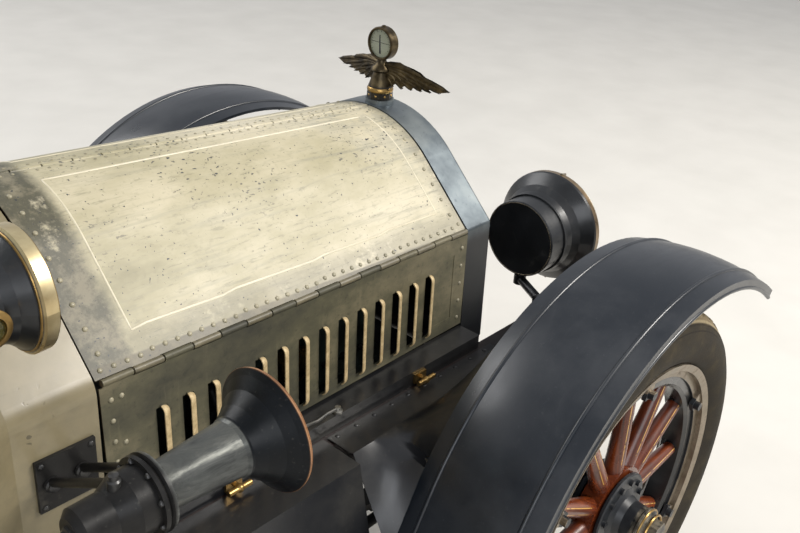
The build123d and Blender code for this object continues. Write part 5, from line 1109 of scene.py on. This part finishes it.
def dash_details():
    """Dash board with its dials, switch and knobs."""
    roof = Skin("cowl")
    rows = []
    for x in (DASH_X, DASH_X + 12):
        tops = [(y, roof.hit((x, y, 1125), UP)[0]) for y in spread(-470, 470, 41)]
        row = [(x, y, (top.z if top is not None else 1200) + 0.5) for y, top in tops]
        rows.append(row + [(x, y, 1124) for y in spread(470, -470, 21)])
    Kit().rows(rows, around=True, caps=True).make("dash_board", "wood")
    rims, faces, hands = Kit(), Kit(), Kit()
    for y, z, radius in DIALS:
        dial_on_dash(rims, faces, hands, y, z, radius)
    rims.block((DASH_X - 24, -300, 1146), (DASH_X, -226, 1198))
    rims.lathe((DASH_X - 24, SWITCH_Y, SWITCH_Z), BACK, [(-1, 12), (2, 12), (4, 8), (5, 0)], 18)
    key = ((-27, 0, 0), (-38, 8, 12), (-40, 14, 20))
    rims.tube([(DASH_X + dx, SWITCH_Y + dy, SWITCH_Z + dz) for dx, dy, dz in key], [4, 3.4, 4.6], 8)
    knob = [(-1, 9), (2, 9), (3, 5), (14, 5), (15, 9), (21, 10), (24, 6), (25, 0)]
    for y in KNOB_YS:
        rims.lathe((DASH_X, y, 1160), BACK, knob, 14)
    rims.make("dash_fittings", "brass", bevel=0.6)
    faces.make("dash_dials", "dial")
    hands.make("dash_hands", "dark")


def screen_nuts():
    """Pivot caps on the screen's posts, with wing nuts at its fold."""
    nuts = Kit()
    fold_z = SCREEN_ZS[1]
    for _, s in SIDES:
        for z in SCREEN_ZS:
            nuts.lathe((-1400, s * 478, z), (0, s, 0), [(-4, 13), (1, 13), (1.6, 9), (2.4, 8)], 16)
            nuts.lathe((-1388, s * 470, z), AHEAD, [(-2, 8), (3, 8), (5, 5), (8, 5), (9, 0)], 12)
        for d in (-1, 1):
            ear = [(x, s * 470, fold_z + d * out) for x, out in ((-1384, 0), (-1380, 10), (-1378, 20))]
            nuts.tube(ear, [4, 3.2, 2.6], 8)
    nuts.make("screen_wing_nuts", "brass")


# Floor and boards
MATS = (((-1860, -420, 782.2), (-1500, 470, 785.5)), ((-3040, -480, 782.2), (-2470, 480, 786)))
BOARD_ENDS = ((-781, 554, 814), (-2619, 585, 835))     # x, inner and outer edge
BOARD_MAT_XS = (-800.0, -2600.0)
EDGING = ((-20, 432.6), (-20, 435.4), (1.4, 435.4), (2.2, 434), (2.2, 404), (0.4, 404), (0.4, 432.6))
PEDAL_YS = (-345, -195, -125)


def board_edges(x):
    (x0, inner0, outer0), (x1, inner1, outer1) = BOARD_ENDS
    run = (x0 - x) / (x0 - x1)
    return inner0 + (inner1 - inner0) * run, outer0 + (outer1 - outer0) * run


def floor_mats():
    mats = Kit()
    for low, high in MATS:
        mats.block(low, high)
        for x in np.arange(low[0] + 14, high[0] - 10, 18.0):
            mats.tube([(x, low[1] + 16, high[2] - 0.6), (x, high[1] - 16, high[2] - 0.6)], 2.6, 5)
    mats.make("floor_mats", "rubber")


def board_mats():
    """Ribbed mats on the running boards, and their bright edging with its screws."""
    front, rear = BOARD_MAT_XS
    screws = Kit()
    for side, s in SIDES:
        mat = Kit()
        for z in (430.2, 433.2):
            ends = [(x, *board_edges(x)) for x in spread(front, rear, 3)]
            mat.rows([[(x, s * (inner + 14), z), (x, s * (outer - 22), z)] for x, inner, outer in ends])
        for share in spread(0.04, 0.96, 17):
            ends = [(x, *board_edges(x)) for x in (front - 6, rear + 6)]
            rib = [(x, s * (inner + 14 + (outer - inner - 36) * share), 433.4) for x, inner, outer in ends]
            mat.tube(rib, 2.8, 6)
        mat.make(f"board_mat_{side}", "rubber")
        rows = [[(x, s * (board_edges(x)[1] + out), z) for out, z in EDGING] for x in spread(-784, -2616, 12)]
        Kit().rows(rows, around=True, caps=True).make(f"board_edging_{side}", "alloy")
        for x in spread(-810, -2590, 22):
            screws.dome((x, s * (board_edges(x)[1] - 9), 435.2), UP, 4.2, 1.6)
    screws.make("board_screws", "brass")


def pedal_ribs():
    ribs = Kit()
    skin = Skin("levers_and_pedals")
    for y in PEDAL_YS:
        for dy in (-18, -9, 0, 9, 18):
            hits = [skin.hit((-1700, y + dy, z), AHEAD) for z in spread(900, 985, 12)]
            line = [place - normal * 0.4 for place, normal in hits if place is not None and place.x < -1300]
            if len(line) > 2:
                ribs.tube(line, 2.4, 6)
    if ribs.points:
        ribs.make("pedal_ribs", "rubber")


# Tail
PLATE_LOW, PLATE_HIGH = (-3964, -450, 752), (-3960, -230, 838)


def rear_plate():
    """Blank plate on its brackets, with a bright edge."""
    face_x, y0, z0 = PLATE_LOW
    _, y1, z1 = PLATE_HIGH
    brackets = Kit()
    for y, top_y in ((-380, -362), (-290, -300)):
        brackets.tube([(-3958, y, z1 - 2), (-3956, top_y, z1 + 30)], 4, 8)
    for z in (z0 + 10, z1 - 10):
        for y in (y0 + 10, y1 - 10):
            brackets.dome((face_x, y, z), BACK, 4.5, 2.6)
    loop = [(face_x, y0, z0), (face_x, y1, z0), (face_x, y1, z1), (face_x, y0, z1)]
    Kit().block(PLATE_LOW, PLATE_HIGH).make("rear_plate", "black", bevel=0.8)
    brackets.make("plate_brackets", "iron")
    Kit().tube(loop, 2.2, 6, closed=True).make("plate_edge", "nickel")


# Engine
CYLINDER_XS = spread(-740, -230, 6)
PLUG_YS = (-52, 52)
CARBURETTOR_X = -430
PLUG_NUT = [(-3, 17), (5, 17), (6, 11), (12, 11), (13, 8)]
PLUG_BODY = [(0, 7.5), (4, 7.5), (6, 5), (18, 4), (20, 4)]
FLOAT_BOWL = [(0, 24), (6, 24), (8, 18), (14, 30), (56, 32), (62, 26), (66, 12), (70, 12)]


def plugs(skin, brass, iron, white):
    """Plugs over the cylinders, the tube that carries their leads, and its posts."""
    top_z = None
    for x in CYLINDER_XS:
        for y in PLUG_YS:
            place, _ = skin.hit((x, y, 1300), DOWN)
            top_z = top_z or place.z
            brass.lathe(place, UP, PLUG_NUT, 6)
            white.lathe(place + Vector((0, 0, 12)), UP, PLUG_BODY, 12)
            brass.lathe(place + Vector((0, 0, 31)), UP, [(0, 4.5), (3, 5), (6, 3), (7, 0)], 10)
            brass.tube([(x, y * 0.2, top_z + 50), (x, y * 0.7, top_z + 46), (x, y, top_z + 36)], 1.8, 6)
    rail = ((-770, 34), (-770, 46), (-755, 52), (-215, 52), (-200, 46), (-200, 30))
    iron.tube([(x, 0, top_z + rise) for x, rise in rail], 11, 14)
    for x in spread(-700, -270, 3):
        iron.tube([(x, 0, top_z - 2), (x, 0, top_z + 42)], 12, 12)


def carburettor_and_magneto(y, brass, iron):
    """On the right of the block, whose face is at y."""
    x = CARBURETTOR_X
    brass.tube([(x, y + 3, 840), (x, y - 30, 840), (x, y - 48, 822), (x, y - 48, 780)], 19, 18)
    brass.lathe((x, y - 48, 786), DOWN, FLOAT_BOWL, 28)
    brass.lathe((x + 35, y - 48, 752), UP, [(-26, 20), (18, 20), (24, 14), (26, 6), (30, 6)], 20)
    iron.block((-660, y - 84, 690), (-540, y - 2, 764))
    iron.tube([(-540, y - 42, 727), (-500, y - 42, 727)], 15, 14)
    for bow_x in (-640, -600, -560):
        iron.tube([(bow_x, y + dy, z) for dy, z in ((-84, 760), (-60, 792), (-26, 792), (2, 760))], 6, 8)


def engine_details():
    """Plugs, crankcase bolts, carburettor and magneto."""
    brass, iron, white = Kit(), Kit(), Kit()
    skin = Skin("engine_block")
    plugs(skin, brass, iron, white)
    for x in spread(-800, -170, 12):
        for s in (-1, 1):
            place, normal = skin.hit((x, s * 400, 668), (0, -s, 0))
            if place is not None:
                iron.lathe(place, normal, [(-1, 9), (5, 9), (6, 5), (11, 5)], 6)
    carburettor_and_magneto(skin.hit((CARBURETTOR_X, -400, 820), (0, 1, 0))[0].y, brass, iron)
    brass.make("engine_brass", "brass")
    iron.make("engine_fittings", "iron", bevel=0.8)
    white.make("plug_insulators", "dial")


# Running gear
SPRING_Y = 383
U_BOLT_REACH, CLIP_REACH = 46, 250     # along the spring from the axle


def running_gear_details():
    """U bolts and clips on the springs."""
    kit = Kit()
    skin = Skin("leaf_springs")
    for centre in (0.0, (REAR_X - AXLE_X) * 1000):
        for _, s in SIDES:
            y = s * SPRING_Y
            for dx in (-U_BOLT_REACH, U_BOLT_REACH, -CLIP_REACH, CLIP_REACH):
                x = centre + dx
                top, _ = skin.hit((x, y, 640), DOWN)
                foot, _ = skin.hit((x, y, 380), UP)
                if top is None or foot is None:
                    continue
                low, high = foot.z, top.z
                if abs(dx) == U_BOLT_REACH:
                    leg = [(27, low - 14), (27, high), (23, high + 5)]
                    bolt = [(-dy, z) for dy, z in leg] + leg[::-1]
                    kit.tube([(x, y + dy, z) for dy, z in bolt], 5.5, 8)
                    continue
                kit.block((x - 13, y - 25, low - 3), (x + 13, y - 22.3, high + 3))
                kit.block((x - 13, y + 22.3, low - 3), (x + 13, y + 25, high + 3))
                kit.block((x - 13, y - 25, low - 3.5), (x + 13, y + 25, low - 0.4))
                kit.tube([(x, y - 27, high + 5), (x, y + 27, high + 5)], 4, 8)
    kit.make("spring_clips", "iron", bevel=0.6)


# Steering
WHEEL_TOP = (-1650, -262, 1215)
COLUMN_AXIS = (-0.8431968, 0, 0.5376051)
QUADRANT_ENDS, LEVER_TURNS = (200, 340), (235, 300)     # degrees
QUADRANT_RADIUS = 74


def steering_details():
    """Spark and throttle levers on their quadrant, in the middle of the steering wheel."""
    axis, along = Vector(COLUMN_AXIS), Vector((0, 1, 0))
    other = axis.cross(along)
    centre = Vector(WHEEL_TOP) + axis * 26
    kit = Kit()

    def way(degrees):
        return along * math.cos(math.radians(degrees)) + other * math.sin(math.radians(degrees))

    kit.tube([centre + way(t) * QUADRANT_RADIUS for t in spread(*QUADRANT_ENDS, 18)], 3.2, 6)
    for t in QUADRANT_ENDS:
        kit.tube([centre, centre + way(t) * QUADRANT_RADIUS], 3, 6)
    boss = [(-4, 20), (8, 20), (12, 14), (22, 14), (24, 8), (26, 0)]
    kit.lathe(centre - axis * 12, axis, boss, 20)
    for t in LEVER_TURNS:
        kit.tube([centre + axis * 6, centre + axis * 9 + way(t) * 84], [4, 2.6], 8)
        kit.lathe(centre + axis * 10 + way(t) * 88, axis, [(-8, 5), (-4, 8), (4, 8), (8, 5), (9, 0)], 12)
    kit.make("spark_and_throttle", "brass", "steering_wheel")


# Seats
SQUAB_SPLIT_X = {"front": -2232, "rear": -3667}     # squab behind, cushion ahead
# Rows of buttons: height or x, count across, half the width they take up.
LOW_TUFTS = {
    "front": [(-2150, 5, 400), (-2030, 6, 440)], "rear": [(-3560, 5, 400), (-3400, 6, 440), (-3240, 5, 400)],
}
BACK_TUFTS = {"front": [(1130, 5, 400), (1240, 6, 440)], "rear": [(1130, 5, 400), (1250, 6, 440)]}
DRAWN_IN = 0.008          # metres, room left for the stuffing to swell into
MOST_SWELL = 0.022
CLOTH_FRAMES = 20
TUFT_DEPTH, TUFT_WIDTH = 17, 26
PLEAT_DEPTH, PLEAT_WIDTH = 6.0, 8.0
TUFT_REACH = 62           # how far back from the foremost place the leather is drawn in


def pad_shell(node, name):
    """Closed skin of even cells, a little inside the node's own surface."""
    work = bmesh.new()
    work.from_mesh(NODES[node].data)
    bmesh.ops.remove_doubles(work, verts=work.verts, dist=1e-5)
    work.normal_update()
    for vert, shift in [(v, v.normal * DRAWN_IN) for v in work.verts]:
        vert.co -= shift
    mesh = bpy.data.meshes.new(name)
    work.to_mesh(mesh)
    work.free()
    piece = bpy.data.objects.new(name, mesh)
    bpy.context.scene.collection.objects.link(piece)
    skin = piece.modifiers.new("skin", "REMESH")
    skin.mode, skin.voxel_size = "VOXEL", 0.012
    shell = settled(piece)
    piece.modifiers.clear()
    piece.data = shell
    return piece


def settled(piece):
    """The piece's mesh as its modifiers leave it."""
    return bpy.data.meshes.new_from_object(piece.evaluated_get(bpy.context.evaluated_depsgraph_get()))


def corners(mesh):
    places = np.zeros(len(mesh.vertices) * 3)
    mesh.vertices.foreach_get("co", places)
    return places.reshape(-1, 3)


def swollen(piece, start, held):
    """Places of the skin after it is blown up as cloth, held along its back and foot."""
    group = piece.vertex_groups.new(name="held")
    group.add([int(k) for k in np.nonzero(held)[0]], 1.0, "REPLACE")
    cloth = piece.modifiers.new("cloth", "CLOTH")
    settings = cloth.settings
    settings.quality, settings.mass = 5, 0.3
    settings.use_pressure, settings.uniform_pressure_force = True, 4
    settings.effector_weights.gravity = 0
    settings.vertex_group_mass = "held"
    cloth.point_cache.frame_start, cloth.point_cache.frame_end = 1, CLOTH_FRAMES
    for frame_number in range(1, CLOTH_FRAMES + 1):
        bpy.context.scene.frame_set(frame_number)
    blown = settled(piece)
    moved = corners(blown) - start
    far = np.linalg.norm(moved, axis=1, keepdims=True)
    piece.modifiers.clear()
    piece.vertex_groups.clear()
    bpy.context.scene.frame_set(1)
    bpy.data.meshes.remove(blown)
    return start + moved * np.minimum(1.0, MOST_SWELL / np.maximum(far, 1e-9))


def drawn_in(local, chosen, axis, u, rows):
    """Buttons pulled in along axis on the chosen places, with pleats between rows and out to the edges."""
    face = local[chosen, axis].max() - TUFT_REACH

    def pull(near, off, depth, width):
        local[near, axis] -= depth * np.exp(-(off[near] / width) ** 2)

    for order, (level, count, reach) in enumerate(rows):
        for y in spread(-reach, reach, count):
            away = np.hypot(local[:, 1] - y, local[:, u] - level)
            pull(chosen & (local[:, axis] > face), away, TUFT_DEPTH, TUFT_WIDTH)
        for y in spread(-reach, reach, count):
            beyond = np.zeros(len(local), bool)
            if order == len(rows) - 1:
                beyond |= local[:, u] > level
            if order == 0:
                beyond |= local[:, u] < level
            near = chosen & (local[:, axis] > face) & beyond
            pull(near, np.abs(local[:, 1] - y), PLEAT_DEPTH, PLEAT_WIDTH)
    for a, b in zip(rows, rows[1:]):
        for y0 in spread(-a[2], a[2], a[1]):
            for y1 in spread(-b[2], b[2], b[1]):
                if abs(y1 - y0) > 2 * a[2] / (a[1] - 1) * 0.75:
                    continue
                p, run = np.array([y0, a[0]]), np.array([y1 - y0, b[0] - a[0]])
                here = np.column_stack([local[:, 1], local[:, u]]) - p
                t = np.clip(here @ run / (run @ run), 0, 1)
                off = np.linalg.norm(here - t[:, None] * run, axis=1)
                pull(chosen & (local[:, axis] > face), off, PLEAT_DEPTH, PLEAT_WIDTH)


def buttons_and_piping(end, tree, front_x, low_z):
    """Buttons at the tufts, and piping along the cushion's front."""
    buttons, piping = Kit(), Kit()
    for is_squab, rows in ((False, LOW_TUFTS[end]), (True, BACK_TUFTS[end])):
        way = Vector(BACK if is_squab else DOWN)
        for level, count, reach in rows:
            for y in spread(-reach, reach, count):
                start = (-1000 if end == "front" else -2800, y, level) if is_squab else (level, y, 1700)
                place, _, _, _ = tree.ray_cast(Vector(start), way)
                if place is not None:
                    buttons.dome(place - way, -way, 9.0, 4.5, 12)
    buttons.make(f"{end}_seat_buttons", "leather")
    for z in (low_z + 22, low_z + 116):
        hits = [tree.ray_cast(Vector((front_x + 60, y, z)), Vector(BACK))[0] for y in spread(-488, 488, 60)]
        line = [place for place in hits if place is not None]
        if len(line) > 4:
            piping.tube(line, 3.2, 8)
    piping.make(f"{end}_seat_piping", "leather")


def seat_pads(end):
    """Cushion and squab of one bench: blown up as cloth, then drawn in at the buttons."""
    node = f"{end}_seat_cushions"
    piece = pad_shell(node, f"{end}_seat_pads")
    places = start = corners(piece.data)
    low, high = (np.array(c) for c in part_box(node))
    squab = start[:, 0] < at(SQUAB_SPLIT_X[end], 0, 0).x
    held = np.where(squab, start[:, 0] < low[0] + 0.03, start[:, 2] < low[2] + 0.03)
    places = swollen(piece, start, held)
    local = (places - np.array([AXLE_X, 0, 0])) * 1000
    drawn_in(local, ~squab, 2, 0, LOW_TUFTS[end])
    drawn_in(local, squab, 0, 2, BACK_TUFTS[end])
    places = np.clip(local / 1000 + np.array([AXLE_X, 0, 0]), low - 0.001, high + 0.001)
    mesh = piece.data
    mesh.vertices.foreach_set("co", places.reshape(-1))
    mesh.update()
    mesh.shade_smooth()
    mesh.materials.clear()
    mesh.materials.append(LOOKS["leather"])
    smooth = piece.modifiers.new("smooth", "SUBSURF")
    smooth.levels = smooth.render_levels = 1
    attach(piece, "car")
    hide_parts(node)
    tree = BVHTree.FromPolygons([tuple(p) for p in local], [tuple(f.vertices) for f in mesh.polygons])
    buttons_and_piping(end, tree, local[~squab, 0].max(), low[2] * 1000)


# Stage
LAMPS = (
    ("key", (5.5, -5.0, 6.5), (0.9, 0, 0.8), 760, 2.6, (1.0, 0.96, 0.9)),
    ("fill", (-5.0, -6.0, 4.5), (0, 0, 0.8), 260, 5.0, (0.93, 0.96, 1.0)),
    ("back", (-1.0, 7.0, 6.0), (0, 0, 0.8), 320, 5.0, (1.0, 1.0, 1.0)),
)     # name, place, aim, power, side, tint
CAMERA_PLACE = (-1536, -1372, 1831)
CAMERA_YAW, CAMERA_PITCH, CAMERA_ROLL = 0.699, 0.473, 0.08
CAMERA_LENS = 42.1
FLOOR_HALF = 60


def stage_scene():
    scene = bpy.context.scene
    scene.view_settings.view_transform = "Standard"
    world = bpy.data.worlds.new("studio")
    scene.world = world
    world.use_nodes = True
    background = world.node_tree.nodes["Background"]
    background.inputs[0].default_value = (0.93, 0.95, 1.0, 1)
    background.inputs[1].default_value = 0.55
    mesh = bpy.data.meshes.new("floor")
    mesh.from_pydata([(x * FLOOR_HALF, y * FLOOR_HALF, 0) for x, y in ((-1, -1), (1, -1), (1, 1), (-1, 1))],
                     [], [(0, 1, 2, 3)])
    floor = bpy.data.objects.new("floor", mesh)
    scene.collection.objects.link(floor)
    k = Look("floor_pale")
    mesh.materials.append(k.done(k.ramp(k.noise(3, 4, 0.5), (0.3, "cfccc5"), (0.7, "d6d3cc")), 0.85))
    for name, place, aim, power, side, tint in LAMPS:
        data = bpy.data.lights.new(name, "AREA")
        data.energy, data.shape, data.size, data.color = power, "SQUARE", side, tint
        lamp = bpy.data.objects.new(name, data)
        scene.collection.objects.link(lamp)
        lamp.location = place
        lamp.rotation_euler = (Vector(aim) - Vector(place)).to_track_quat("-Z", "Y").to_euler()


def camera():
    f = Vector((math.cos(CAMERA_YAW) * math.cos(CAMERA_PITCH), math.sin(CAMERA_YAW) * math.cos(CAMERA_PITCH),
                -math.sin(CAMERA_PITCH)))
    level = f.cross(Vector(UP)).normalized()
    upright = level.cross(f)
    right = math.cos(CAMERA_ROLL) * level + math.sin(CAMERA_ROLL) * upright
    up = math.cos(CAMERA_ROLL) * upright - math.sin(CAMERA_ROLL) * level
    data = bpy.data.cameras.new("camera")
    data.sensor_width, data.lens = 36, CAMERA_LENS
    data.clip_start = 0.02
    cam = bpy.data.objects.new("camera", data)
    bpy.context.scene.collection.objects.link(cam)
    matrix = Matrix((right, up, -f)).transposed().to_4x4()
    matrix.translation = at(*CAMERA_PLACE)
    cam.matrix_world = matrix
    bpy.context.scene.camera = cam


hood_tops()
hood_sides()
radiator_details()
mascot_wings()
mascot_dial()
headlamps()
side_and_tail_lamps()
horn_details()
wheel_details()
splash_sheets()
body_details()
dash_details()
screen_nuts()
floor_mats()
board_mats()
pedal_ribs()
rear_plate()
engine_details()
running_gear_details()
steering_details()
seat_pads("front")
seat_pads("rear")
stage_scene()
camera()
